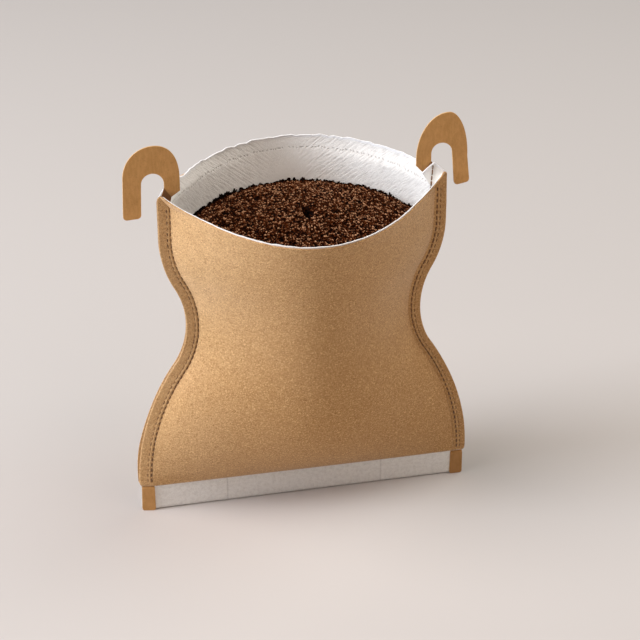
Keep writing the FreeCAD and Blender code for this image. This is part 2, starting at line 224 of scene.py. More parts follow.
def kraft_paper():
    """Soft unbleached kraft with a felted, uncoated face: long wood fibres lie every way, so it
    is matt, warm tan, finely flecked dark and light, and clouded where the pulp lay thicker."""
    material, tree = new_material("uncoated_kraft_paper")
    laid = add(tree, "ShaderNodeAttribute", {"attribute_name": "laid_mm"}).outputs["Vector"]
    edge = add(tree, "ShaderNodeAttribute", {"attribute_name": "edge_mm"}).outputs["Vector"]
    # Pulp clouds are some 9 mm across, and finer ones 2.5 mm.
    cloud = add(tree, "ShaderNodeTexNoise", None,
                {"Vector": laid, "Scale": 0.11, "Detail": 3.0, "Roughness": 0.55})
    curd = add(tree, "ShaderNodeTexNoise", None,
               {"Vector": laid, "Scale": 0.4, "Detail": 2.0, "Roughness": 0.5})
    # Fibre ends, 0.4 mm and finer, drawn a little coarse so that they show.
    fleck = add(tree, "ShaderNodeTexNoise", None,
                {"Vector": laid, "Scale": 2.8, "Detail": 3.0, "Roughness": 0.7, "Distortion": 1.1})
    speck = add(tree, "ShaderNodeTexNoise", None,
                {"Vector": laid, "Scale": 1.5, "Detail": 1.0, "Roughness": 0.4})
    tan = stained(tree, linear("#C69C67"), "#DDB484", cloud)
    tan = stained(tree, tan, "#976D3F", curd, 0.65, 0.35, 0.16)
    # Painted shade: the sheet is made deeper in colour towards its lower right, which lies in
    # shade, than at its upper left.
    lower_right_shade = add(tree, "ShaderNodeVectorMath", {"operation": "DOT_PRODUCT"},
                {0: laid, 1: (0.55, -0.75, 0.0)})
    tan = stained(tree, tan, "#AF7D42", lower_right_shade.outputs["Value"], -60.0, 2.0, 0.6)
    # Painted shade: the middle of the belly, which faces away from the window, is made a touch
    # deeper.
    middle = add(tree, "ShaderNodeSeparateXYZ", None, {0: laid})
    middle = add(tree, "ShaderNodeMath", {"operation": "ABSOLUTE"}, {0: middle})
    tan = stained(tree, tan, "#AF7D42", middle, 30.0, 6.0, 0.36, smooth=True)
    # Dark fibres where the fleck is low, pale ones where it is high, and a few brown knots.
    tan = stained(tree, tan, "#946532", fleck, 0.48, 0.32, 0.8)
    tan = stained(tree, tan, "#F4CE95", fleck, 0.52, 0.68, 0.76)
    tan = stained(tree, tan, "#7A5329", speck, 0.66, 0.72, 0.2)
    # Painted highlight where the paper stands up between stitches, and painted shade where the
    # thread draws it in.
    pulled = add(tree, "ShaderNodeAttribute", {"attribute_name": "pulled_mm"}).outputs["Fac"]
    tan = stained(tree, tan, "#F0CC98", pulled, 0.05, 0.15, 0.6)
    tan = stained(tree, tan, "#7A4E26", pulled, -0.03, -0.12, 0.5)
    # Painted shade: the seam flange, which faces away from the window, is a shade deeper than the
    # field.
    split = add(tree, "ShaderNodeSeparateXYZ", None, {0: edge})
    tan = stained(tree, tan, "#A27448", split, SEAM_WIDTH + 0.5, SEAM_WIDTH - 0.7, 0.05,
                  smooth=True)
    # A faint fold line runs 3 mm under the top edge, where the liner is tacked.
    hem = line_at(tree, split.outputs[2], 3.0, 0.0, 0.35)
    # Relief: the felted nap stands 0.03 mm, the fold sinks 0.04 mm.
    nap = add(tree, "ShaderNodeMath", {"operation": "MULTIPLY_ADD"}, {0: curd, 1: 0.6, 2: fleck})
    nap = add(tree, "ShaderNodeMath", {"operation": "MULTIPLY_ADD"}, {0: hem, 1: -0.5, 2: nap})
    bump = add(tree, "ShaderNodeBump", None,
               {"Height": nap, "Strength": 0.75, "Distance": 0.11 * MM})
    rough = add(tree, "ShaderNodeMapRange", None, {"Value": curd, "To Min": 0.78, "To Max": 0.95})
    return finished(material, {"Base Color": tan, "Roughness": rough,
                               "Normal": bump, "IOR": 1.45, "Specular IOR Level": 0.25,
                               "Sheen Weight": 0.22, "Sheen Roughness": 0.5})


def filter_nonwoven():
    """Heat-bonded nonwoven filter cloth: white fibres pressed under an engraved roller, which
    leaves slanting ribs 0.5 mm apart, a soft matt face and slightly see-through thin places."""
    material, tree = new_material("embossed_filter_nonwoven")
    laid = add(tree, "ShaderNodeAttribute", {"attribute_name": "laid_mm"}).outputs["Vector"]
    edge = add(tree, "ShaderNodeAttribute", {"attribute_name": "edge_mm"}).outputs["Vector"]
    split = add(tree, "ShaderNodeSeparateXYZ", None, {0: edge})
    where = add(tree, "ShaderNodeSeparateXYZ", None, {0: laid})
    # Short ribs, about 0.5 mm apart and 3 mm long, rise outwards from the middle at 38 degrees.
    outward = add(tree, "ShaderNodeMath", {"operation": "ABSOLUTE"}, {0: where})
    folded = add(tree, "ShaderNodeCombineXYZ", None,
                 {0: outward, 1: where.outputs[1], 2: where.outputs[2]})
    turned = add(tree, "ShaderNodeVectorRotate", {"rotation_type": "Z_AXIS"},
                 {"Vector": folded, "Angle": math.radians(-38.0)})
    drawn = add(tree, "ShaderNodeVectorMath", {"operation": "MULTIPLY"},
                {0: turned, 1: (0.35, 2.2, 1.0)})
    ribs = add(tree, "ShaderNodeTexNoise", None,
               {"Vector": drawn, "Scale": 1.0, "Detail": 2.0, "Roughness": 0.6})
    fibre = add(tree, "ShaderNodeTexNoise", None,
                {"Vector": laid, "Scale": 2.4, "Detail": 4.0, "Roughness": 0.7, "Distortion": 1.0})
    cloud = add(tree, "ShaderNodeTexNoise", None, {"Vector": laid, "Scale": 0.28, "Detail": 2.0})
    # Only the walls are ribbed, not the plain strip along the bottom, nor the very middle.
    wall = add(tree, "ShaderNodeMapRange", {"interpolation_type": "SMOOTHSTEP"},
               {"Value": where.outputs[1], "From Min": PANEL_BOTTOM + 1.5,
                "From Max": PANEL_BOTTOM + 4.0})
    beside = add(tree, "ShaderNodeMapRange", {"interpolation_type": "SMOOTHSTEP"},
                 {"Value": outward, "From Min": 1.0, "From Max": 9.0, "To Min": 0.15})
    ribbed = add(tree, "ShaderNodeMath", {"operation": "MULTIPLY"}, {0: wall, 1: beside})
    # Hem: a dotted weld line 2.9 mm below the top edge, dots 0.95 mm apart.
    hem = line_at(tree, split.outputs[2], 2.9, 0.05, 0.3)
    wavered = add(tree, "ShaderNodeMath", {"operation": "MULTIPLY_ADD"},
                  {0: cloud, 1: 5.0, 2: where})
    dots = add(tree, "ShaderNodeMath", {"operation": "MULTIPLY"},
               {0: wavered, 1: 2 * math.pi / 0.95})
    dots = add(tree, "ShaderNodeMath", {"operation": "SINE"}, {0: dots})
    dots = add(tree, "ShaderNodeMapRange", None,
               {"Value": dots, "From Min": -0.3, "From Max": 0.7})
    hem = add(tree, "ShaderNodeMath", {"operation": "MULTIPLY"}, {0: hem, 1: dots})
    # Welded joins of the base strip stand 19 mm either side of the middle.
    join = line_at(tree, outward, 19.0, 0.05, 0.3)
    strip = add(tree, "ShaderNodeMath", {"operation": "LESS_THAN"},
                {0: where.outputs[1], 1: PANEL_BOTTOM + 1.0})
    faint = add(tree, "ShaderNodeMath", {"operation": "MULTIPLY"}, {0: strip, 1: 0.5})
    join = add(tree, "ShaderNodeMath", {"operation": "MULTIPLY"}, {0: join, 1: faint})
    white = stained(tree, linear("#F1EDE6"), "#FFFEFA", fibre)
    shade = add(tree, "ShaderNodeMapRange", None,
                {"Value": ribs, "From Min": 0.5, "From Max": 0.35, "To Max": 0.24})
    shade = add(tree, "ShaderNodeMath", {"operation": "MULTIPLY"}, {0: shade, 1: ribbed})
    white = stained(tree, white, "#A9A29B", shade)
    # Thin places show grey: broad on the walls, 1 mm blotches on the strip.
    blotch = add(tree, "ShaderNodeTexNoise", None,
                 {"Vector": laid, "Scale": 1.1, "Detail": 4.0, "Roughness": 0.75})
    thin = add(tree, "ShaderNodeMix", {"data_type": "FLOAT"}, {0: wall, 2: blotch, 3: cloud})
    most = add(tree, "ShaderNodeMapRange", None, {"Value": wall, "To Min": 0.3, "To Max": 0.06})
    white = stained(tree, white, "#B4ADA5", thin, 0.42, 0.7, most)
    # The cut rim is a loose fringe of fibres and catches the light.
    white = stained(tree, white, "#FFFFFF", split.outputs[2], 0.7, 0.25, 0.85, smooth=True)
    weld = add(tree, "ShaderNodeMath", {"operation": "MAXIMUM"}, {0: hem, 1: join})
    weld = add(tree, "ShaderNodeMath", {"operation": "MULTIPLY"}, {0: weld, 1: 0.45})
    white = stained(tree, white, "#9C948C", weld)
    relief = add(tree, "ShaderNodeMath", {"operation": "MULTIPLY"}, {0: ribs, 1: ribbed})
    relief = add(tree, "ShaderNodeMath", {"operation": "MULTIPLY_ADD"},
                 {0: relief, 1: 1.9, 2: fibre})
    relief = add(tree, "ShaderNodeMath", {"operation": "MULTIPLY_ADD"},
                 {0: weld, 1: -2.0, 2: relief})
    bump = add(tree, "ShaderNodeBump", None,
               {"Height": relief, "Strength": 0.8, "Distance": 0.12 * MM})
    return finished(material, {"Base Color": white, "Normal": bump,
                               "Roughness": 0.85, "IOR": 1.49, "Specular IOR Level": 0.2,
                               "Sheen Weight": 0.25, "Sheen Roughness": 0.5})


def ground_coffee():
    """Medium-dark roast, burr ground: chips with matt broken faces and a trace of oil, near
    black in the gaps and warm brown where a face catches the light."""
    material, tree = new_material("burr_ground_coffee")
    place = add(tree, "ShaderNodeTexCoord").outputs["Object"]
    tone = add(tree, "ShaderNodeAttribute", {"attribute_name": "tone_and_gap_shade"}).outputs["Fac"]
    # Broken faces vary over 0.3 mm.
    breaks = add(tree, "ShaderNodeTexNoise", None,
                 {"Vector": place, "Scale": 3300.0, "Detail": 2.0, "Roughness": 0.6})
    lift = add(tree, "ShaderNodeMath", {"operation": "MULTIPLY_ADD"}, {0: breaks, 1: 0.5, 2: -0.2})
    lift = add(tree, "ShaderNodeMath", {"operation": "ADD", "use_clamp": True}, {0: tone, 1: lift})
    lit = add(tree, "ShaderNodeAttribute", {"attribute_name": "lit"}).outputs["Fac"]
    tip = add(tree, "ShaderNodeAttribute", {"attribute_name": "tip"}).outputs["Fac"]
    tip = add(tree, "ShaderNodeMapRange", None, {"Value": tip, "To Min": 0.05})
    # The chips settled in rows half a millimetre apart, slanting to the rear right.
    rows = add(tree, "ShaderNodeMapping", None,
               {"Vector": place, "Rotation": (0, 0, -1.08), "Scale": (620, 1900, 620)})
    rows = add(tree, "ShaderNodeTexNoise", None, {"Vector": rows, "Scale": 1.0, "Detail": 1.0})
    rows = add(tree, "ShaderNodeMapRange", None,
               {"Value": rows, "From Min": 0.36, "From Max": 0.6, "To Min": 0.45, "To Max": 1.12})
    for share in (lit, tip, rows):
        lift = add(tree, "ShaderNodeMath", {"operation": "MULTIPLY"}, {0: lift, 1: share})
    ramp = add(tree, "ShaderNodeValToRGB", None, {0: lift})
    ramp.color_ramp.elements[0].color = linear("#020000")
    ramp.color_ramp.elements[1].color = linear("#CE9E78")
    for at, colour in ((0.26, "#140400"), (0.6, "#5A2808")):
        ramp.color_ramp.elements.new(at).color = linear(colour)
    bump = add(tree, "ShaderNodeBump", None,
               {"Height": breaks, "Strength": 0.6, "Distance": 0.08 * MM})
    return finished(material, {"Base Color": ramp, "Normal": bump,
                               "Roughness": 0.55, "IOR": 1.5, "Specular IOR Level": 0.03})


def die_cut_card():
    """Solid brown board, calendered and die cut: smooth, hardly any nap, faint upright grain
    from the mill, and a paler core at the cut edge."""
    material, tree = new_material("calendered_brown_card")
    place = add(tree, "ShaderNodeTexCoord").outputs["Object"]
    # Mill grain: streaks 0.5 mm wide and about 2 mm long, upright in the card.
    drawn = add(tree, "ShaderNodeMapping", None, {"Vector": place, "Scale": (1.0, 1.0, 0.3)})
    grain = add(tree, "ShaderNodeTexNoise", None,
                {"Vector": drawn, "Scale": 1900.0, "Detail": 3.0, "Roughness": 0.6})
    cloud = add(tree, "ShaderNodeTexNoise", None, {"Vector": place, "Scale": 320.0, "Detail": 2.0})
    fleck = add(tree, "ShaderNodeTexNoise", None,
                {"Vector": place, "Scale": 2600.0, "Detail": 2.0, "Roughness": 0.6})
    brown = stained(tree, linear("#BC8A4E"), "#D09D60", grain, 0.25, 0.75)
    brown = stained(tree, brown, "#DDA568", cloud, 0.4, 0.7, 0.35)
    brown = stained(tree, brown, "#7A4F24", fleck, 0.42, 0.28, 0.22)
    # The cut edge shows the paler core; painted shade darkens the folded neck and the feet.
    for mark, colour in (("cut_edge", "#DDBB8C"), ("neck_and_foot_shade", "#7D5430")):
        mark = add(tree, "ShaderNodeAttribute", {"attribute_name": mark}).outputs["Fac"]
        brown = stained(tree, brown, colour, mark)
    bump = add(tree, "ShaderNodeBump", None,
               {"Height": grain, "Strength": 0.35, "Distance": 0.05 * MM})
    return finished(material, {"Base Color": brown, "Normal": bump,
                               "Roughness": 0.72, "IOR": 1.48, "Specular IOR Level": 0.3})


def sewing_thread():
    """Spun polyester thread, 0.26 mm thick, dyed dark brown: dull, a little fuzzy, darker where
    it goes into the paper."""
    material, tree = new_material("spun_polyester_thread")
    place = add(tree, "ShaderNodeTexCoord").outputs["Object"]
    ply = add(tree, "ShaderNodeTexNoise", None,
              {"Vector": place, "Scale": 2800.0, "Detail": 2.0, "Roughness": 0.6})
    worn = add(tree, "ShaderNodeAttribute", {"attribute_name": "worn"}).outputs["Fac"]
    brown = stained(tree, linear("#4A2D13"), "#774F26", ply)
    brown = stained(tree, brown, "#A67A45", worn)
    bump = add(tree, "ShaderNodeBump", None,
               {"Height": ply, "Strength": 0.5, "Distance": 0.04 * MM})
    return finished(material, {"Base Color": brown, "Normal": bump,
                               "Roughness": 0.8, "IOR": 1.5, "Sheen Weight": 0.3})


# ---------------------------------------------------------------- the bag's form

def edge_arcs(inset):
    """Tangent arcs of a seam edge, moved in by inset: end heights, centre, radius, sign."""
    arcs = []
    hip = (HIP_HALF_WIDTH, HIP_HEIGHT, HIP_SHARE)
    shoulder = (SHOULDER_HALF_WIDTH, SHOULDER_HEIGHT, SHOULDER_SHARE)
    for outer_x, outer_z, share in (hip, shoulder):
        step = outer_x - WAIST_HALF_WIDTH
        rise = WAIST_HEIGHT - outer_z
        both = (step ** 2 + rise ** 2) / (2 * step)
        outer_radius = share * both - inset
        join = outer_z + rise * outer_radius / both
        outer_centre = (outer_x - share * both, outer_z)
        waist_centre = (WAIST_HALF_WIDTH + (1 - share) * both, WAIST_HEIGHT)
        arcs.append((outer_z, join, outer_centre, outer_radius, 1))
        arcs.append((join, WAIST_HEIGHT, waist_centre, (1 - share) * both + inset, -1))
    return arcs


def seam_edge(z, inset=0.0):
    """Distance from the middle to the seam edge at heights z, less an inset square to it."""
    z = np.clip(np.asarray(z, float), HIP_HEIGHT, SHOULDER_HEIGHT)
    found = np.zeros(np.broadcast(z, inset).shape)
    for low, high, (across, level), radius, sign in edge_arcs(inset):
        here = (z >= np.minimum(low, high)) & (z <= np.maximum(low, high))
        reach = np.sqrt(np.maximum(radius ** 2 - (z - level) ** 2, 0))
        found = np.where(here, across + sign * reach, found)
    return found


def seam_width(z):
    """Width of the sealed flange: full below the mouth and narrow at its corners."""
    below = np.clip((CORNER_HEIGHT - np.asarray(z, float)) / MOUTH_SEAM_LENGTH, 0, 1)
    return MOUTH_SEAM_WIDTH + (SEAM_WIDTH - MOUTH_SEAM_WIDTH) * below


def swell(z, side):
    """How far the middle of a wall stands from the seam plane at heights z."""
    z = np.asarray(z, float)
    if side > 0:
        top = CORNER_HEIGHT + REAR_RIM_RISE
        flare = np.maximum(0, (z - FLARE_START) / (top - FLARE_START)) ** 2
        return REAR_BASE + (REAR_MOUTH - REAR_BASE) * flare
    top = CORNER_HEIGHT - FRONT_RIM_DIP
    flare = np.maximum(0, (z - FLARE_START) / (top - FLARE_START)) ** 2
    roll = 1 - np.exp(-np.maximum(0, z - PANEL_BOTTOM) / FRONT_ROLL)
    return FRONT_BELLY * roll + (FRONT_MOUTH - FRONT_BELLY) * flare


def slump(x, z, side):
    """Soft hollows and swells that the settled coffee presses into a wall."""
    held = np.clip((z - PANEL_BOTTOM) / 14, 0, 1) * np.clip((84 - z) / 16, 0, 1)
    wave = 0.34 * np.sin(x / 5.2 + 0.6 + z / 60) + 0.26 * np.sin(x / 8.3 - z / 21 + 2.1)
    wave = wave + 0.2 * np.sin(z / 7.5 + x / 13 + (0.4 if side < 0 else 1.9))
    return held * wave


def wall_point(share, z, side, offset):
    """Points of one wall. share runs from -1 to 1 between the creases."""
    width = seam_edge(z, seam_width(z))
    bulge = swell(z, side)
    square = REAR_SQUARENESS if side > 0 else 0.0
    arch = (1 - share ** 2) * (1 + square * share ** 2)
    slope = 2 * share * bulge * (square - 1 - 2 * square * share ** 2) / width
    angle = np.arctan(slope)
    rise = bulge * arch + slump(width * share, z, side) * np.minimum(1, 6 * (1 - share ** 2))
    across = width * share - offset * np.sin(angle)
    out = rise + offset * np.cos(angle)
    crease = np.abs(share) > 0.9999
    across = np.where(crease, share * (width + offset * np.tan(np.abs(angle) / 2)), across)
    out = np.where(crease, offset, out)
    return across, side * (PLY_LEVEL + out)


# Columns of a sheet: where they stand across a flange, as shares of its width from the edge and
# closer together at the stitches, and how many lie in the field between the flanges.
FLANGE_STOPS = (0.0, 0.02, 0.1, 0.22, 0.32, 0.4, 0.47, 0.52, 0.57, 0.63, 0.7, 0.76, 0.82, 0.9)
FIELD_COLUMNS = 92


def columns():
    """Columns of a wall from left to right: side of a flange or 0 in the field, and share."""
    field = -np.cos(np.linspace(0, math.pi, FIELD_COLUMNS + 1))
    left = [(-1, stop) for stop in FLANGE_STOPS]
    right = [(1, stop) for stop in reversed(FLANGE_STOPS)]
    return left + [(0, share) for share in field] + right


def sheet_points(z, side, offset, inset=0.0):
    """Points of a wall and its flanges on a grid of heights, one column for each of columns().
    inset takes the sheet's side edges in from the seam edge."""
    points = np.zeros(z.shape + (3,))
    points[..., 2] = z
    for index, (flange, share) in enumerate(columns()):
        level = z[:, index]
        if flange:
            width = seam_width(level)
            points[:, index, 0] = flange * seam_edge(level, inset + share * (width - inset))
            points[:, index, 1] = side * (PLY_LEVEL + offset)
        else:
            across, out = wall_point(share, level, side, offset)
            points[:, index, 0] = across
            points[:, index, 1] = out
    return points


def rim_height(x, rise, power, inset, wander=0.0, phase=0.0, crisp=1.0,
               sag=0.0):
    """Height of a sheet's top edge, with its rounded corners and the cut's slight wander. crisp
    is how much of the rounding the right-hand corner has, sag how far the middle droops; the
    left half droops more."""
    reach = SHOULDER_HALF_WIDTH - inset - CORNER_RADIUS
    inside = np.clip(1 - (x / reach) ** 2, 0, 1)
    past = np.clip(np.abs(x) - reach, 0, CORNER_RADIUS)
    corner = np.sqrt(CORNER_RADIUS ** 2 - past ** 2) - CORNER_RADIUS
    corner = corner * np.where(x > 0, crisp, 1.0)
    wave = np.sin(x * 1.9 + phase) + np.sin(x * 0.83 + 2.3 * phase) + np.sin(x * 4.1 - phase)
    wave = wave + 0.8 * np.sin(x * 8.3 + 3 * phase)
    along = np.clip(x / 31, -1, 1)
    droop = (1 - 0.8 * along - 0.5 * along ** 2) * np.clip((1 - np.abs(along)) / 0.2, 0, 1)
    wave = wander * wave * inside ** 0.3
    return CORNER_HEIGHT + rise * inside ** power + corner + wave - sag * droop


def rim_of(side, offset, inset, **edge):
    """Height of the top edge in each column, settled where the column meets the edge."""
    top = np.full((1, len(columns())), CORNER_HEIGHT)
    for _ in range(8):
        top = rim_height(sheet_points(top, side, offset, inset)[..., 0], inset=inset, **edge)
    return top[0]


def laid_across(points):
    """Distance across the sheet from its middle, along the sheet, for each grid point."""
    steps = np.linalg.norm(np.diff(points[..., :2], axis=1), axis=2)
    along = np.concatenate([np.zeros((len(points), 1)), np.cumsum(steps, axis=1)], axis=1)
    return along - along[:, along.shape[1] // 2][:, None]


def thick_sheet(outer, inner, kept=None):
    """Vertices and faces of a sheet between two grids, closed round its edges. kept says which
    cells of the grid the sheet fills."""
    rows, cols = outer.shape[:2]
    if kept is None:
        kept = np.ones((rows - 1, cols - 1), bool)
    number = np.arange(rows * cols).reshape(rows, cols)
    vertices = np.concatenate([outer.reshape(-1, 3), inner.reshape(-1, 3)])
    shift = rows * cols
    a, b = number[:-1, :-1][kept], number[:-1, 1:][kept]
    c, d = number[1:, 1:][kept], number[1:, :-1][kept]
    faces = np.concatenate([np.stack([a, b, c, d], 1), np.stack([d, c, b, a], 1) + shift])
    edges = {}
    for quad in np.stack([a, b, c, d], 1).tolist():
        for start, end in zip(quad, quad[1:] + quad[:1]):
            if (end, start) in edges:
                del edges[end, start]
            else:
                edges[start, end] = True
    rim = [[end, start, start + shift, end + shift] for start, end in edges]
    return vertices, np.concatenate([faces, np.array(rim)])


def grid_faces(rows, cols, first=0):
    """Faces of a grid of points that are numbered row by row from first."""
    number = np.arange(rows * cols).reshape(rows, cols) + first
    return np.stack([number[:-1, :-1], number[1:, :-1], number[1:, 1:], number[:-1, 1:]],
                    -1).reshape(-1, 4)


def on_both(**marks):
    """Marks of the points of a sheet's outer face, given to its inner face too."""
    return {name: np.concatenate([mark.reshape(-1, 3)] * 2) for name, mark in marks.items()}


def standing(points):
    """Points of the flat-drawn bag as it stands: its base slid back and turned, its left flange
    bent back below the waist and its right flange bent a little forward."""
    points = np.array(points, float)
    x, z = points[:, 0], points[:, 2]
    low = np.clip(1 - z / 34, 0, 1) ** 2
    points[:, 1] += low * (BASE_BACK + BASE_SKEW * x / HIP_HALF_WIDTH)
    across = np.clip(SEAM_WIDTH - seam_edge(z) + np.abs(x), 0, SEAM_WIDTH)
    left = LEFT_FLANGE_BEND * np.clip((52 - z) / 20, 0, 1)
    right = RIGHT_FLANGE_BEND * np.clip((z - 6) / 10, 0, 1) * np.clip((80 - z) / 6, 0, 1)
    points[:, 1] += across * np.where(x < 0, left, right)
    return points


def placed(name, data):
    """An object of the scene that shows the data."""
    piece = bpy.data.objects.new(name, data)
    bpy.context.scene.collection.objects.link(piece)
    return piece


def mesh_piece(name, vertices, faces, material, node, values):
    """A mesh object in metres from points in millimetres, riding on the one body. values are
    what the material reads at each point."""
    mesh = bpy.data.meshes.new(name)
    faces = [list(map(int, face)) for face in faces]
    mesh.from_pydata((standing(vertices) * MM).tolist(), [], faces)
    for label, data in values.items():
        kind = "FLOAT_VECTOR" if data.ndim == 2 else "FLOAT"
        store = mesh.attributes.new(label, kind, "POINT")
        store.data.foreach_set("vector" if data.ndim == 2 else "value",
                               np.ascontiguousarray(data, dtype=np.float32).ravel())
    mesh.validate()
    clean = bmesh.new()
    clean.from_mesh(mesh)
    bmesh.ops.remove_doubles(clean, verts=clean.verts, dist=1e-7)
    loose = [vertex for vertex in clean.verts if not vertex.link_faces]
    bmesh.ops.delete(clean, geom=loose, context="VERTS")
    clean.to_mesh(mesh)
    clean.free()
    mesh.materials.append(material)
    mesh.polygons.foreach_set("use_smooth", [True] * len(mesh.polygons))
    piece = placed(name, mesh)
    settle(piece, node)
    return piece


def settle(piece, node):
    """A piece rides on the bag and stands for its CAD node, which it hides."""
    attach(piece, "root")
    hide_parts(node)


# ---------------------------------------------------------------- stitches

def stitch_line(inset):
    """One row of stitches on the right-hand seam: a point for each stitch."""
    low = PANEL_BOTTOM + STITCH_BOTTOM_GAP
    high = CORNER_HEIGHT - STITCH_TOP_GAP
    z = np.linspace(low, high, 600)
    x = seam_edge(z, inset)
    along = np.concatenate([[0], np.cumsum(np.hypot(np.diff(x), np.diff(z)))])
    count = int(round(along[-1] / STITCH_PITCH))
    spots = (np.arange(count) + 0.5) * along[-1] / count
    return np.stack([np.interp(spots, along, x), np.interp(spots, along, z)], 1)


def stitch_pull(x, z):
    """How far the thread draws the paper in or lets it puff up, over a flange."""
    sunk = np.zeros_like(x)
    for side, rows in STITCH_ROWS.items():
        across = side * x
        pull = np.zeros_like(x)
        for inset, depth in zip(rows, STITCH_SINKS[side]):
            spots = stitch_line(inset)
            near = np.abs(z[..., None] - spots[:, 1]).argmin(-1)
            trough = np.exp(-((across - seam_edge(z, inset)) / 0.23) ** 2)
            press = np.exp(-((z - spots[near, 1]) / 0.5) ** 4)
            pull += trough * (0.05 - depth * press)
        # Between the rows the paper stands up in a row of little beads.
        beads = 0.75 + 0.25 * np.cos(2 * math.pi * z / STITCH_PITCH)
        pull += 0.14 * beads * np.exp(-((across - seam_edge(z, sum(rows) / 2)) / 0.17) ** 2)
        sunk = np.where(across > 0, pull, sunk)
    sewn = (z > PANEL_BOTTOM + STITCH_BOTTOM_GAP) & (z < CORNER_HEIGHT - STITCH_TOP_GAP + 0.3)
    return np.where(sewn, sunk, 0)


def growing_tree(name, *sizes):
    """Geometry nodes that take a mesh, some sizes and a seed. Gives the tree and its inputs."""
    tree = bpy.data.node_groups.new(name, "GeometryNodeTree")
    face = tree.interface
    face.new_socket("Geometry", in_out="INPUT", socket_type="NodeSocketGeometry")
    for label in sizes:
        face.new_socket(label, in_out="INPUT", socket_type="NodeSocketFloat")
    face.new_socket("Seed", in_out="INPUT", socket_type="NodeSocketInt")
    face.new_socket("Geometry", in_out="OUTPUT", socket_type="NodeSocketGeometry")
    return tree, add(tree, "NodeGroupInput").outputs


def stitch_tree(material):
    """Geometry nodes: threads laid along each row's points, one arched stitch to a point."""
    tree, given = growing_tree("lockstitch_row", "Pitch", "Stitch length", "Thread width",
                               "Side", "Wear")
    line = add(tree, "GeometryNodeMeshToCurve", None, {0: given["Geometry"]})
    spaced = add(tree, "GeometryNodeResampleCurve", {"mode": "LENGTH"},
                 {"Curve": line, "Length": given["Pitch"]})
    # One stitch: a thread that rises from one hole and goes down into the next.
    half = add(tree, "ShaderNodeMath", {"operation": "MULTIPLY"},
               {0: given["Stitch length"], 1: 0.5})
    back = add(tree, "ShaderNodeMath", {"operation": "MULTIPLY"}, {0: half, 1: -1.0})
    dip = add(tree, "ShaderNodeMath", {"operation": "MULTIPLY"},
              {0: given["Thread width"], 1: -0.45})
    crown = add(tree, "ShaderNodeMath", {"operation": "MULTIPLY"},
                {0: given["Thread width"], 1: 0.75})
    start = add(tree, "ShaderNodeCombineXYZ", None, {0: back, 2: dip})
    top = add(tree, "ShaderNodeCombineXYZ", None, {2: crown})
    end = add(tree, "ShaderNodeCombineXYZ", None, {0: half, 2: dip})
    arch = add(tree, "GeometryNodeCurveQuadraticBezier", None,
               {"Resolution": 6, "Start": start, "Middle": top,
                "End": end})
    radius = add(tree, "ShaderNodeMath", {"operation": "MULTIPLY"},
                 {0: given["Thread width"], 1: 0.5})
    ring = add(tree, "GeometryNodeCurvePrimitiveCircle", None, {"Resolution": 6, "Radius": radius})
    thread = add(tree, "GeometryNodeCurveToMesh", None,
                 {"Curve": arch, "Profile Curve": ring, "Fill Caps": True})
    tangent = add(tree, "GeometryNodeInputTangent")
    outward = add(tree, "ShaderNodeCombineXYZ", None, {1: given["Side"]})
    turn = add(tree, "FunctionNodeAxesToRotation", {"primary_axis": "X", "secondary_axis": "Z"},
               {"Primary Axis": tangent, "Secondary Axis": outward})
    smooth = add(tree, "GeometryNodeSetShadeSmooth", None, {0: thread})
    size = add(tree, "FunctionNodeRandomValue", {"data_type": "FLOAT_VECTOR"},
               {0: (0.78, 0.75, 0.7), 1: (1.08, 1.15, 1.15), "Seed": given["Seed"]})
    laid = add(tree, "GeometryNodeInstanceOnPoints", None,
               {"Points": spaced, "Instance": smooth,
                "Rotation": turn, "Scale": size})
    # Each stitch is worn pale by chance, up to the row's wear.
    chance = add(tree, "FunctionNodeRandomValue", {"data_type": "FLOAT"},
                 {2: 0.0, 3: given["Wear"], "Seed": given["Seed"]})
    toned = add(tree, "GeometryNodeStoreNamedAttribute",
                {"data_type": "FLOAT", "domain": "INSTANCE"},
                {"Geometry": laid, "Name": "worn", "Value": chance.outputs[1]})
    real = add(tree, "GeometryNodeRealizeInstances", None, {0: toned})
    done = add(tree, "GeometryNodeSetMaterial", None, {"Geometry": real, "Material": material})
    add(tree, "NodeGroupOutput", None, {0: done})
    return tree


def grown(name, source, tree, sizes):
    """Runs a geometry tree on a mesh with its sizes, and gives the result as a plain mesh."""
    holder = placed(name + "_source", source)
    modifier = holder.modifiers.new("grow", "NODES")
    modifier.node_group = tree
    sockets = {item.name: item.identifier for item in tree.interface.items_tree
               if item.in_out == "INPUT"}
    for label, value in sizes.items():
        modifier[sockets[label]] = value
    depsgraph = bpy.context.evaluated_depsgraph_get()
    mesh = bpy.data.meshes.new_from_object(holder.evaluated_get(depsgraph), depsgraph=depsgraph)
    mesh.name = name
    holder.modifiers.remove(modifier)
    bpy.data.objects.remove(holder)
    return placed(name, mesh)


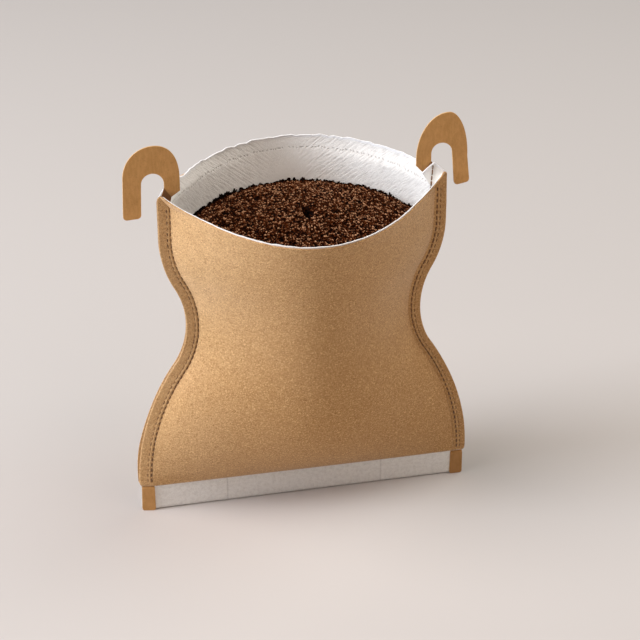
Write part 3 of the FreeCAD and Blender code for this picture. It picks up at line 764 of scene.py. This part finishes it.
def sew_seam(side_name, side, thread):
    """Both rows of stitches of one seam, on the front and the rear kraft."""
    tree = stitch_tree(thread)
    rows = []
    for face in (-1, 1):
        for row, inset in enumerate(STITCH_ROWS[side]):
            level = face * (STITCH_LEVEL - THREAD_SUNK)
            rows.append((face, row, [(side * x, level, z) for x, z in stitch_line(inset)]))
    if side > 0:
        # The inner row runs on over the liner's tab.
        low = CORNER_HEIGHT - TAB_ROW_DROP
        z = np.arange(low, CORNER_HEIGHT + 1.5, STITCH_PITCH * 0.9)
        x = TAB_ROW_FOOT + 0.11 * (z - low)
        up = (z - CORNER_HEIGHT + TAB_ROOT) / (TAB_ROOT + CREASE_HIGH)
        level = tab_level(x, z, up, HOOKS["right"]["lean"]) - LINER - LAYER_GAP
        rows.append((-1, 1, list(zip(x, level, z))))
    parts = []
    for number, (face, row, spots) in enumerate(rows):
        mesh = bpy.data.meshes.new("row")
        path = standing(spots) * MM
        mesh.from_pydata(path.tolist(), [(i, i + 1) for i in range(len(path) - 1)], [])
        # The inner row is sewn with the thicker thread, and the tab's row is sewn closer.
        width = THREAD * (1.25 if row else 1.0)
        pitch = STITCH_PITCH * (0.9 if number == 4 else 0.998)
        sizes = {"Pitch": pitch * MM, "Stitch length": STITCH_LENGTH * MM,
                 "Thread width": width * MM, "Side": float(face),
                 "Wear": 0.15 if row else 0.8, "Seed": 11 + number + 5 * (side > 0)}
        parts.append(grown("row", mesh, tree, sizes))
    joined = bmesh.new()
    for part in parts:
        joined.from_mesh(part.data)
        bpy.data.objects.remove(part)
    mesh = bpy.data.meshes.new(side_name + "_seam_thread")
    joined.to_mesh(mesh)
    joined.free()
    mesh.materials.append(thread)
    settle(placed(side_name + "_seam_thread", mesh), side_name + "_seam_stitching")


# ---------------------------------------------------------------- sheets of the bag

PANEL_ROWS = 215
HEM_RADIUS = 0.8
WEB_HEIGHT = 80.0


def kraft_panel(node, side, paper, clip=0.0, proud=0.0, slant=0.0, peak=0.0, **edge):
    """One kraft panel: outer and inner face, drawn in along the stitches. clip is how much its
    top corners are cut short, proud how far its lower left edge was cut too wide, slant how
    much higher its lower edge was cut towards the right, peak how much its right corner rises."""
    middle = PANEL_OFFSET + KRAFT / 2
    top = rim_of(side, middle, 0.0, **edge)
    x = sheet_points(top[None], side, middle)[0, :, 0]
    top += peak * np.clip((x - 29) / 3.5, 0, 1) - clip * np.clip((np.abs(x) - 26) / 4, 0, 1)
    share = np.linspace(0, 1, PANEL_ROWS + 1)[:, None]
    x = sheet_points(np.full((1, len(top)), PANEL_BOTTOM), side, middle)[0, :, 0]
    corner = np.clip(HEM_RADIUS - HIP_HALF_WIDTH + np.abs(x), 0, HEM_RADIUS)
    hem = PANEL_BOTTOM + HEM_RADIUS - np.sqrt(HEM_RADIUS ** 2 - corner ** 2)
    hem = hem + slant * np.clip(x / HIP_HALF_WIDTH, 0, 1) ** 2
    z = hem + share * (top - hem)
    inner = sheet_points(z, side, PANEL_OFFSET)
    outer = sheet_points(z, side, PANEL_OFFSET + KRAFT)
    flanges = np.array([flange != 0 for flange, _ in columns()])
    pull = np.zeros(z.shape)
    pull[:, flanges] = stitch_pull(outer[:, flanges, 0], outer[:, flanges, 2])
    outer[..., 1] += side * pull
    wide = proud * np.exp(-((z - 15) / 7.5) ** 2)
    for sheet in (outer, inner):
        inset = seam_edge(z) + sheet[..., 0]
        sheet[..., 0] -= wide * np.clip(1 - inset / SEAM_WIDTH, 0, 1)
    # The outermost column is the cut edge's soft shoulder.
    outer[:, [0, -1], 1] -= side * CUT_EDGE_PRESSED
    across = laid_across(outer)
    laid = np.stack([across, z, np.full_like(z, 50.0 * side)], -1)
    inset = seam_edge(z) - np.abs(outer[..., 0])
    marks = np.stack([inset, z, top - z], -1)
    # The hem's lower edge is pressed thin.
    outer[:2, :, 1] -= side * np.array(HEM_PRESSED)[:, None]
    vertices, faces = thick_sheet(outer, inner)
    if side > 0:
        faces = faces[:, ::-1]
    values = on_both(laid_mm=laid, edge_mm=marks)
    values["pulled_mm"] = np.concatenate([pull.ravel(), 0 * pull.ravel()])
    mesh_piece(node + "_kraft", vertices, faces, paper, node, values)


def filter_liner(cloth):
    """The filter bag: one web down the front, under the coffee and up the rear."""
    # Rows lie close together at the rim, for its fringe: these are mm below it.
    rim = np.array([0.0, 0.08, 0.18, 0.3, 0.45, 0.65])
    above, strip, fold, floor = 120 + len(rim), 12, 5, 10
    front_edge = {"rise": FRONT_LINER_LIP - FRONT_RIM_DIP, "power": FRONT_RIM_POWER,
                  "wander": 0.045, "phase": 1.0}
    rear_edge = {"rise": REAR_LINER_LIP + REAR_RIM_RISE, "power": REAR_RIM_POWER,
                 "wander": 0.09, "phase": 3.0, "sag": 1.0}
    front_top = rim_of(-1, LINER / 2, LINER_INSET, **front_edge)
    # The front ply was cut a little higher towards the right.
    front_top = front_top + LINER_SLANT * np.linspace(-1, 1, len(front_top))
    rear_top = rim_of(1, LINER / 2, LINER_INSET, **rear_edge)
    down = np.concatenate([1 - rim / WEB_HEIGHT, np.linspace(1 - 1.2 / WEB_HEIGHT, 0, 121)])
    down = down[:, None]
    low = np.linspace(1, 0, strip + 1)[1:, None]
    front_z = np.concatenate([
        PANEL_BOTTOM + down * (front_top - PANEL_BOTTOM),
        np.broadcast_to(FLOOR_FOLD + low * (PANEL_BOTTOM - FLOOR_FOLD),
                        (strip, len(front_top)))])
    rear_z = FLOOR_FOLD + down[::-1] * (rear_top - FLOOR_FOLD)
    webs = []
    for offset in (LINER, 0.0):
        front = sheet_points(front_z, -1, offset, LINER_INSET)
        rear = sheet_points(rear_z, 1, offset, LINER_INSET)
        # The rim frays to twice its thickness.
        for sheet, top, side in ((front, front_top, -1), (rear, rear_top, 1)):
            fray = LINER_FRAY[side] * np.exp(-((top - sheet[..., 2]) / 0.3) ** 2)
            sheet[..., 1] += side * (fray if offset else -fray)
        start = front[-1]
        end = rear[0]
        # Fold under: a small round from wall to floor, then the floor, then up again.
        lift = LINER - offset
        depth = end[:, 1] - start[:, 1]
        radius = np.minimum(FLOOR_FOLD - lift, 0.45 * depth)

        def round_row(wall, turn, inward):
            """A row of the round below a wall, at a turn of up to 90 degrees."""
            row = wall.copy()
            row[:, 1] += inward * radius * (1 - math.cos(turn))
            row[:, 2] = lift + (FLOOR_FOLD - lift) * (1 - math.sin(turn))
            return row

        turns = np.linspace(0, math.pi / 2, fold + 1)[1:]
        rows = [round_row(start, turn, 1) for turn in turns]
        for share in np.linspace(0, 1, floor + 1)[1:]:
            row = start + (end - start) * share
            row[:, 1] = start[:, 1] + radius + (depth - 2 * radius) * share
            row[:, 2] = lift
            rows.append(row)
        rows += [round_row(end, turn, -1) for turn in turns[-2::-1]]
        webs.append(np.concatenate([front, np.array(rows), rear]))
    outer, inner = webs
    rows, cols = outer.shape[:2]
    kept = np.ones((rows - 1, cols - 1), bool)
    # The front ply stops at each foot, so that the card shows there.
    notch = HIP_HALF_WIDTH - FOOT_INSET - FOOT_WIDTH
    at_foot = np.abs(outer[above, :, 0]) > notch
    beyond = at_foot[1:] & at_foot[:-1]
    kept[above:above + strip + 2 * fold + floor - 1, beyond] = False
    across = laid_across(outer)
    rise = outer[..., 2]
    layer = np.where(np.arange(rows)[:, None] > above + strip + fold, 30.0, 0.0) + 0 * rise
    laid = np.stack([across, rise, layer], -1)
    below = np.where(layer > 1, rear_top - rise, front_top - rise)
    marks = np.stack([seam_edge(rise) - np.abs(outer[..., 0]), rise, below], -1)
    vertices, faces = thick_sheet(outer, inner, kept)
    mesh_piece("filter_liner", vertices, faces[:, ::-1], cloth, "filter_bag",
               on_both(laid_mm=laid, edge_mm=marks))


def tab_level(x, z, up, lean):
    """How far forward or back the tab's seam face lies; up is 0 at its root and 1 at its top."""
    back = lean * np.clip(z - CORNER_HEIGHT + NECK_DROP, 0, 4)
    ripple = 0.04 * np.sin(z * 2.3 + x) * up
    return back - PLY_LEVEL - 0.12 * np.clip(x - 28, 0, None) * up - ripple - 0.03 * up


def liner_tab(cloth, hook):
    """Tab of the front ply that lies on the right-hand neck and leans back with it."""
    near = SHOULDER_HALF_WIDTH + SLOT_OUTSET - hook["shift"] - hook["slot"] / 2
    crease = CORNER_HEIGHT + hook["crease_lift"]
    outer = SHOULDER_HALF_WIDTH - LINER_INSET
    inner = SHOULDER_HALF_WIDTH - SEAM_WIDTH
    low = CORNER_HEIGHT - TAB_ROOT
    peak = (near + TAB_PEAK_OUTSET, crease + CREASE_HIGH - TAB_MARGIN)
    side = (near - hook["crease_run"] - TAB_MARGIN, crease + CREASE_LOW - TAB_MARGIN)
    across = np.linspace(0, 1, 37)
    top_x = np.interp(across, (0, 0.45, 1), (side[0], peak[0], outer))
    top_z = np.interp(across, (0, 0.45, 1), (side[1], peak[1], CORNER_HEIGHT + TAB_OUTER_RISE))
    foot_x = inner + (outer - inner) * across
    up = np.linspace(0, 1, 41)[:, None]
    grids = []
    for offset in (LINER, 0.0):
        x = foot_x + (top_x - foot_x) * up
        z = low + (top_z - low) * up
        y = tab_level(x, z, up, hook["lean"]) - offset
        fray = 0.1 * np.exp(-((top_z - z) / 0.3) ** 2)
        grids.append(np.stack([x, y - (fray if offset else -fray), z], -1))
    front = grids[0]
    # The tab is laid as the web's unribbed middle, a painted highlight that keeps it white where
    # it faces away from the light.
    laid = np.stack([front[..., 0] - 31, front[..., 2], np.full(front.shape[:2], 70.0)], -1)
    below = top_z - front[..., 2]
    marks = np.stack([outer - front[..., 0], front[..., 2], below + 9 * (below > 1.5)], -1)
    vertices, faces = thick_sheet(*grids)
    mesh_piece("liner_tab", vertices, faces, cloth, "filter_bag",
               on_both(laid_mm=laid, edge_mm=marks))


# ---------------------------------------------------------------- hangers

def arc_points(centre, radius, start, end, count):
    """Points of an arc; angles in degrees."""
    turns = [math.radians(start + (end - start) * i / count) for i in range(count + 1)]
    return [(centre[0] + radius * math.cos(t), centre[1] + radius * math.sin(t)) for t in turns]


def rounded(before, corner, after, radius):
    """Points of the arc that rounds a corner between the points before and after it."""
    before, corner, after = (np.array(point, float) for point in (before, corner, after))
    back = (before - corner) / np.linalg.norm(before - corner)
    on = (after - corner) / np.linalg.norm(after - corner)
    half = math.acos(float(back @ on)) / 2
    centre = corner + (back + on) / np.linalg.norm(back + on) * radius / math.sin(half)
    start = corner + back * radius / math.tan(half) - centre
    end = corner + on * radius / math.tan(half) - centre
    points = []
    for share in np.linspace(0, 1, 8):
        spoke = start + (end - start) * share
        points.append(tuple(centre + spoke / np.linalg.norm(spoke) * radius))
    return points


def hanger_outline(lift, shift, slot, slot_top, legs, apex, spring, shoulders, crease_lift,
                   crease_run, drop, splay, heel):
    """Outline of a hanger as if on the right: hook, neck, strip and foot, anticlockwise."""
    centre = SHOULDER_HALF_WIDTH + SLOT_OUTSET - shift
    near, far = centre - slot / 2, centre + slot / 2
    inner, outer = near - legs[0], far + legs[1]
    top = centre + apex
    arch = ARCH_TOP - spring
    spring = CORNER_HEIGHT + spring + lift
    slot_spring = CORNER_HEIGHT + slot_top + lift - slot / 2
    foot = CORNER_HEIGHT - LEG_DROP + lift - drop
    crease = CORNER_HEIGHT + crease_lift
    neck_top = CORNER_HEIGHT - NECK_DROP

    def shoulder(edge, fullness, shares):
        """A quarter of the arch from its edge to its top, as full between as is asked."""
        pull = (8 * fullness - 4) / 3
        path = []
        for t in shares:
            a, b, c = (1 - t) ** 3, 3 * t * (1 - t) ** 2, 3 * t ** 2 * (1 - t)
            path.append((top + (edge - top) * (a + b + c * pull),
                         spring + arch * (b * pull + c + t ** 3)))
        return path

    shares = np.linspace(0, 1, 23)
    points = [(near, crease + CREASE_HIGH)]
    points += arc_points((centre, slot_spring), slot / 2, 180, 0, 24)
    points += rounded((far, slot_spring), (far + splay, foot), (outer + splay, foot + heel),
                      LEG_RADIUS)
    points += rounded((far + splay, foot), (outer + splay, foot + heel), (outer, spring),
                      LEG_RADIUS)
    points += shoulder(outer, shoulders[1], shares) + shoulder(inner, shoulders[0], shares[::-1])
    points.append((inner, crease + LEG_CORNER))
    points.append((near - crease_run, crease + CREASE_LOW))
    strip = np.linspace(neck_top, PANEL_BOTTOM, 40)
    width = SEAM_WIDTH - STRIP_CLEARANCE
    points += [(float(seam_edge(z, width)), z) for z in strip]
    right = HIP_HALF_WIDTH - FOOT_INSET
    left = right - FOOT_WIDTH
    points.append((left, PANEL_BOTTOM))
    points += arc_points((left + FOOT_RADIUS, FOOT_RADIUS), FOOT_RADIUS, 180, 270, 5)
    points += arc_points((right - FOOT_RADIUS, FOOT_RADIUS), FOOT_RADIUS, 270, 360, 5)
    points += [(float(seam_edge(z, STRIP_INSET)), z) for z in strip[::-1]]
    ends = ((near - crease_run, crease + CREASE_LOW), (near, crease + CREASE_HIGH))
    return points, ends


def card_hanger(side_name, card, side, lean, **hook):
    """A die-cut card hanger with its softened cut edges, bent a little at the crease. lean is
    the slope at which its neck leaves the seam, backwards if positive."""
    outline, crease = hanger_outline(**hook)
    outline = [p for i, p in enumerate(outline) if math.dist(p, outline[i - 1]) > 0.01]
    ring = np.array(outline)
    before, after = np.roll(ring, 1, 0), np.roll(ring, -1, 0)
    first = (ring - before) / np.linalg.norm(ring - before, axis=1)[:, None]
    last = (after - ring) / np.linalg.norm(after - ring, axis=1)[:, None]
    normal = np.stack([-(first + last)[:, 1], (first + last)[:, 0]], 1)
    normal /= np.maximum(np.linalg.norm(normal, axis=1), 1e-6)[:, None]
    area = np.sum(ring[:, 0] * after[:, 1] - after[:, 0] * ring[:, 1])
    inward = normal * math.copysign(CARD_BEVEL, area)
    levels = [(-CARD / 2, inward, 0.0), (-CARD / 2 + CARD_BEVEL, 0 * inward, 1.0),
              (CARD / 2 - CARD_BEVEL, 0 * inward, 1.0), (CARD / 2, inward, 0.0)]
    vertices, cut = [], []
    for level, move, share in levels:
        vertices += [(side * x, level, z) for x, z in ring + move]
        cut += [share] * len(ring)
    count = len(ring)
    faces = [list(range(count)), [3 * count + i for i in reversed(range(count))]]
    for layer in range(3):
        for i in range(count):
            j = (i + 1) % count
            faces.append([layer * count + i, (layer + 1) * count + i,
                          (layer + 1) * count + j, layer * count + j])
    piece = mesh_piece(side_name + "_card_hanger", vertices, faces, card,
                       side_name + "_hanger", {"cut_edge": np.array(cut)})
    work = bmesh.new()
    work.from_mesh(piece.data)
    start, end = (Vector((side * x, 0, z)) * MM for x, z in crease)
    along = (end - start).normalized()
    across = Vector((0, 1, 0)).cross(along)
    if across.z < 0:
        across.negate()
    neck_top = (CORNER_HEIGHT - NECK_DROP) * MM
    upright = Vector((0, 0, 1))
    for place, normal in ((start, across), (start - across * 0.2 * MM, across),
                          (upright * neck_top, upright),
                          (upright * (PANEL_BOTTOM - 0.6) * MM, upright),
                          (upright * (PANEL_BOTTOM + 0.2) * MM, upright)):
        everything = work.verts[:] + work.edges[:] + work.faces[:]
        bmesh.ops.bisect_plane(work, geom=everything, plane_co=place, plane_no=normal)
    bmesh.ops.triangulate(work, faces=[face for face in work.faces if len(face.verts) > 4])
    bmesh.ops.recalc_face_normals(work, faces=work.faces)
    # The neck leans out of the seam, and the hook stands up again from the crease. The foot was
    # pressed forward, past the strip beside it. Painted shade darkens the neck below the crease
    # and the feet, the right foot most.
    neck_and_foot_shade = work.verts.layers.float.new("neck_and_foot_shade")
    neck_side = (crease[1][0] + hook["slot"] - 0.5) * MM
    neck_end = (crease[1][1] + 0.05) * MM
    for vertex in work.verts:
        above = (vertex.co - start).dot(across)
        if vertex.co.z > neck_top - 1e-6:
            vertex.co.y += lean * min(vertex.co.z - neck_top, 4 * MM)
            if abs(vertex.co.x) < neck_side and above < 1e-5 and vertex.co.z < neck_end:
                vertex[neck_and_foot_shade] = 1.0 if above < -1e-5 else 0.6
        if above > 1e-6:
            vertex.co.y += HOOK_LEAN * above
        if vertex.co.z < (PANEL_BOTTOM - 0.5) * MM:
            vertex.co.y -= FOOT_BENT * MM
            vertex[neck_and_foot_shade] = 0.3 + 0.1 * side
    work.to_mesh(piece.data)
    work.free()
    piece.data.polygons.foreach_set("use_smooth", [True] * len(piece.data.polygons))
    piece.data.set_sharp_from_angle(angle=math.radians(28))


# ---------------------------------------------------------------- coffee

def coffee_point(share, across, height):
    """A point of the coffee: shares across the bag and from front to rear, and a height."""
    width = seam_edge(height, SEAM_WIDTH + COFFEE_EDGE_GAP)
    full = seam_edge(height, seam_width(height))
    at = share * width / full
    x_front, y_front = wall_point(at, height, -1, -COFFEE_GAP)
    x_rear, y_rear = wall_point(at, height, 1, -COFFEE_GAP)
    return x_front + (x_rear - x_front) * across, y_front + (y_rear - y_front) * across


def coffee_top(x, y):
    """Height of the coffee: a shallow dome with a dimple and small uneven heaps."""
    crown = CORNER_HEIGHT - COFFEE_TOP_DROP
    middle = float(swell(crown, 1) - swell(crown, -1)) / 2
    far = np.hypot(x, y - middle)
    dome = crown - COFFEE_DOME_RADIUS + np.sqrt(COFFEE_DOME_RADIUS ** 2 - far ** 2)
    heaps = 0.16 * np.sin(x / 1.9 + 1.1) * np.sin(y / 1.7)
    heaps = heaps + 0.2 * np.sin(x / 4.3) * np.sin(y / 3.9 + 1)
    # A cleft where the charge fell in: narrow, and longer from front to back.
    back = y - middle + CLEFT_FORWARD
    cleft = np.exp(-(x / CLEFT_HALF_WIDTH) ** 2 - (back / CLEFT_HALF_LENGTH) ** 2)
    return dome + heaps - CLEFT_DEPTH * cleft, cleft


def coffee_bed(coffee):
    """The body of the charge, from the liner's floor up to the grains of its top."""
    across_count, deep_count, high_count = 260, 72, 26
    top_share = np.linspace(-1, 1, across_count + 1)
    deep_share = (1 - np.cos(np.linspace(0, math.pi, deep_count + 1))) / 2
    share, deep = np.meshgrid(top_share, deep_share, indexing="ij")
    height = np.full(share.shape, CORNER_HEIGHT - COFFEE_TOP_DROP)
    for _ in range(5):
        x, y = coffee_point(share, deep, height)
        heap, cleft = coffee_top(x, y)
        # Along the rear wall the grains cling in small round peaks.
        behind = (1 - deep) * (y[:, -1:] - y[:, :1])
        peak = np.abs(np.sin(math.pi * x / PEAK_PITCH + 0.4 * np.sin(0.7 * x)))
        rim = np.exp(-(behind / 0.7) ** 2)
        height = heap - GRAIN_SINK + PEAK_HEIGHT * peak * rim
    top = np.stack([x, y, height], -1)
    # Painted shade: the rear wall keeps the light off the border, on the left further in, and the
    # cleft is painted dark.
    shaded = 0.8 + 1.2 * np.clip(-x / 30, 0, 1)
    lit = np.clip(1 - 0.8 * np.exp(-(behind / shaded) ** 2) - 0.95 * cleft, 0, 1)

    def side_wall(shares, deeps, tops):
        """A strip of wall below the run of the top's border, with a row where the walls turn."""
        rows = []
        above = [PANEL_BOTTOM + (tops - PANEL_BOTTOM) * step ** 1.6
                 for step in np.linspace(1, 0, high_count + 1)]
        below = [0 * tops + level for level in np.linspace(PANEL_BOTTOM, COFFEE_FLOOR, 5)[1:]]
        for level in above + below:
            x, y = coffee_point(shares, deeps, level)
            rows.append(np.stack([x, y, level], -1))
        return np.array(rows)

    # The top, then the walls below its front, rear, right and left borders.
    borders = (np.s_[:, 0], np.s_[::-1, -1], np.s_[-1, :], np.s_[0, ::-1])
    grids = [top.transpose(1, 0, 2)]
    grids += [side_wall(share[at], deep[at], height[at]) for at in borders]
    bx, by = coffee_point(share, deep, np.full(share.shape, COFFEE_FLOOR))
    grids.append(np.stack([bx, by, np.full(share.shape, COFFEE_FLOOR)], -1))
    vertices, faces = [], []
    for grid in grids:
        faces += grid_faces(*grid.shape[:2], len(vertices)).tolist()
        vertices += grid.reshape(-1, 3).tolist()
    # The bed is painted near black: painted shade for the gaps between the grains.
    piece = mesh_piece("coffee_bed", vertices, faces, coffee, "coffee_grounds",
                       {"tone_and_gap_shade": np.full(len(vertices), 0.05),
                        "lit": np.ones(len(vertices))})
    work = bmesh.new()
    work.from_mesh(piece.data)
    bmesh.ops.remove_doubles(work, verts=work.verts, dist=2e-6)
    bmesh.ops.recalc_face_normals(work, faces=work.faces)
    work.to_mesh(piece.data)
    work.free()
    return top, lit


def grain_tree(material):
    """Geometry nodes: broken grains strewn over the top of the coffee."""
    tree, given = growing_tree("strewn_grains", "Grains per area", "Grain length", "Roughening")
    strewn = add(tree, "GeometryNodeDistributePointsOnFaces", {"distribute_method": "RANDOM"},
                 {"Mesh": given["Geometry"], "Density": given["Grains per area"],
                  "Seed": given["Seed"]})
    chip = add(tree, "GeometryNodeMeshCone", {"fill_type": "NGON"},
               {"Vertices": 4, "Radius Top": 0.34, "Radius Bottom": 0.5, "Depth": 1.0})
    # The foot of a chip lies in the dark between its neighbours, its tip in the light.
    where = add(tree, "GeometryNodeInputPosition")
    where = add(tree, "ShaderNodeSeparateXYZ", None, {0: where})
    tip = add(tree, "ShaderNodeMapRange", None, {"Value": where.outputs[2], "From Max": 1.0})
    chip = add(tree, "GeometryNodeStoreNamedAttribute", {"data_type": "FLOAT", "domain": "POINT"},
               {"Geometry": chip, "Name": "tip", "Value": tip})
    # Poured from one side, the chips lean mostly one way.
    turn = add(tree, "FunctionNodeRandomValue", {"data_type": "FLOAT_VECTOR"},
               {0: (-0.5, 0.3, -0.6), 1: (0.4, 1.4, 0.6), "Seed": given["Seed"]})
    shape = add(tree, "FunctionNodeRandomValue", {"data_type": "FLOAT_VECTOR"},
                {0: (0.75, 0.6, 0.7), 1: (1.2, 1.0, 1.25), "Seed": 7})
    size = add(tree, "ShaderNodeVectorMath", {"operation": "SCALE"},
               {0: shape, "Scale": given["Grain length"]})
    lain = add(tree, "GeometryNodeInstanceOnPoints", None,
               {"Points": strewn, "Instance": chip,
                "Rotation": turn, "Scale": size})
    shade = add(tree, "FunctionNodeRandomValue", {"data_type": "FLOAT"},
                {2: 0.25, 3: 1.1, "Seed": 23})
    toned = add(tree, "GeometryNodeStoreNamedAttribute",
                {"data_type": "FLOAT", "domain": "INSTANCE"},
                {"Geometry": lain, "Name": "tone_and_gap_shade", "Value": shade.outputs[1]})
    real = add(tree, "GeometryNodeRealizeInstances", None, {0: toned})
    noise = add(tree, "ShaderNodeTexNoise", None, {"Scale": 2100.0, "Detail": 1.0})
    centred = add(tree, "ShaderNodeVectorMath", {"operation": "SUBTRACT"},
                  {0: noise.outputs["Color"], 1: (0.5, 0.5, 0.5)})
    moved = add(tree, "ShaderNodeVectorMath", {"operation": "SCALE"},
                {0: centred, "Scale": given["Roughening"]})
    broken = add(tree, "GeometryNodeSetPosition", None, {"Geometry": real, "Offset": moved})
    done = add(tree, "GeometryNodeSetMaterial", None, {"Geometry": broken, "Material": material})
    add(tree, "NodeGroupOutput", None, {0: done})
    return tree


def coffee_grains(top, lit, coffee):
    """The loose grains that make the coffee's top. lit is low where they lie in shadow."""
    mesh = bpy.data.meshes.new("top")
    points = top.reshape(-1, 3) + np.array([0, 0, 0.1])
    mesh.from_pydata((points * MM).tolist(), [], grid_faces(*top.shape[:2]).tolist())
    store = mesh.attributes.new("lit", "FLOAT", "POINT")
    store.data.foreach_set("value", lit.ravel().astype(np.float32))
    sizes = {"Grains per area": GRAINS_PER_MM2 / MM ** 2, "Grain length": GRAIN_LENGTH * MM,
             "Roughening": GRAIN_ROUGHENING * MM, "Seed": 5}
    settle(grown("coffee_grains", mesh, grain_tree(coffee), sizes), "coffee_grounds")


# ---------------------------------------------------------------- camera, floor and lamps

LENS = 100.0
LOOK_AT = (3.78, 0.0, 46.4)
AZIMUTH = -11.8
ELEVATION = 27.0
DISTANCE = 413.4

# Name, place in metres, size, power and colour of each lamp.
LAMPS = [("window", (-1.2, -0.05, 0.33), 0.62, 16.0, "#EAF2FF"),
         ("overhead left", (-0.65, -0.03, 1.1), 1.0, 10.6, "#FFF6F2"),
         ("overhead right", (0.65, 0.05, 1.1), 1.0, 6.4, "#FBFDF8"),
         ("fill", (0.5, -0.6, 0.85), 0.9, 3.1, "#FFE6D6")]


def studio():
    """Camera, plain pale floor and soft lamps."""
    camera = placed("camera", bpy.data.cameras.new("camera"))
    camera.data.lens = LENS
    camera.data.sensor_width = 36.0
    azimuth, elevation = math.radians(AZIMUTH), math.radians(ELEVATION)
    back = Vector((math.sin(azimuth) * math.cos(elevation),
                   -math.cos(azimuth) * math.cos(elevation), math.sin(elevation)))
    camera.location = Vector(LOOK_AT) * MM + back * DISTANCE * MM
    camera.rotation_mode = "QUATERNION"
    camera.rotation_quaternion = (-back).to_track_quat("-Z", "Y")
    camera.data.clip_start = 0.01
    bpy.context.scene.camera = camera

    mesh = bpy.data.meshes.new("floor")
    mesh.from_pydata([(-3, -3, 0), (3, -3, 0), (3, 3, 0), (-3, 3, 0)], [], [(0, 1, 2, 3)])
    mesh.materials.append(finished(new_material("matt_studio_floor")[0], {
        "Base Color": linear("#D0CCC9"), "Roughness": 0.9, "Specular IOR Level": 0.1}))
    placed("floor", mesh)

    world = bpy.data.worlds.new("studio")
    bpy.context.scene.world = world
    world.use_nodes = True
    background = world.node_tree.nodes["Background"]
    background.inputs["Color"].default_value = linear("#F2EAE0")
    background.inputs["Strength"].default_value = 0.04

    for name, place, size, power, colour in LAMPS:
        lamp = bpy.data.lights.new(name, "AREA")
        lamp.shape = "DISK"
        lamp.size = size
        lamp.energy = power
        lamp.color = linear(colour)[:3]
        stand = placed(name, lamp)
        stand.location = place
        stand.rotation_mode = "QUATERNION"
        aim = Vector((0, 0, 0.04)) - stand.location
        stand.rotation_quaternion = aim.to_track_quat("-Z", "Y")
    bpy.context.scene.view_settings.view_transform = "Standard"


studio()
paper = kraft_paper()
cloth = filter_nonwoven()
coffee = ground_coffee()
card = die_cut_card()
thread = sewing_thread()

kraft_panel("front_panel", -1, paper, slant=0.25, peak=0.4, rise=-FRONT_RIM_DIP,
            power=FRONT_RIM_POWER, wander=0.03, phase=0.4, crisp=0.35)
kraft_panel("rear_panel", 1, paper, clip=0.9, proud=0.42, rise=REAR_RIM_RISE,
            power=REAR_RIM_POWER, wander=0.04, phase=2.0, sag=1.0)
filter_liner(cloth)
liner_tab(cloth, HOOKS["right"])
for side_name, hook in HOOKS.items():
    card_hanger(side_name, card, **hook)
    sew_seam(side_name, hook["side"], thread)
top, lit = coffee_bed(coffee)
coffee_grains(top, lit, coffee)
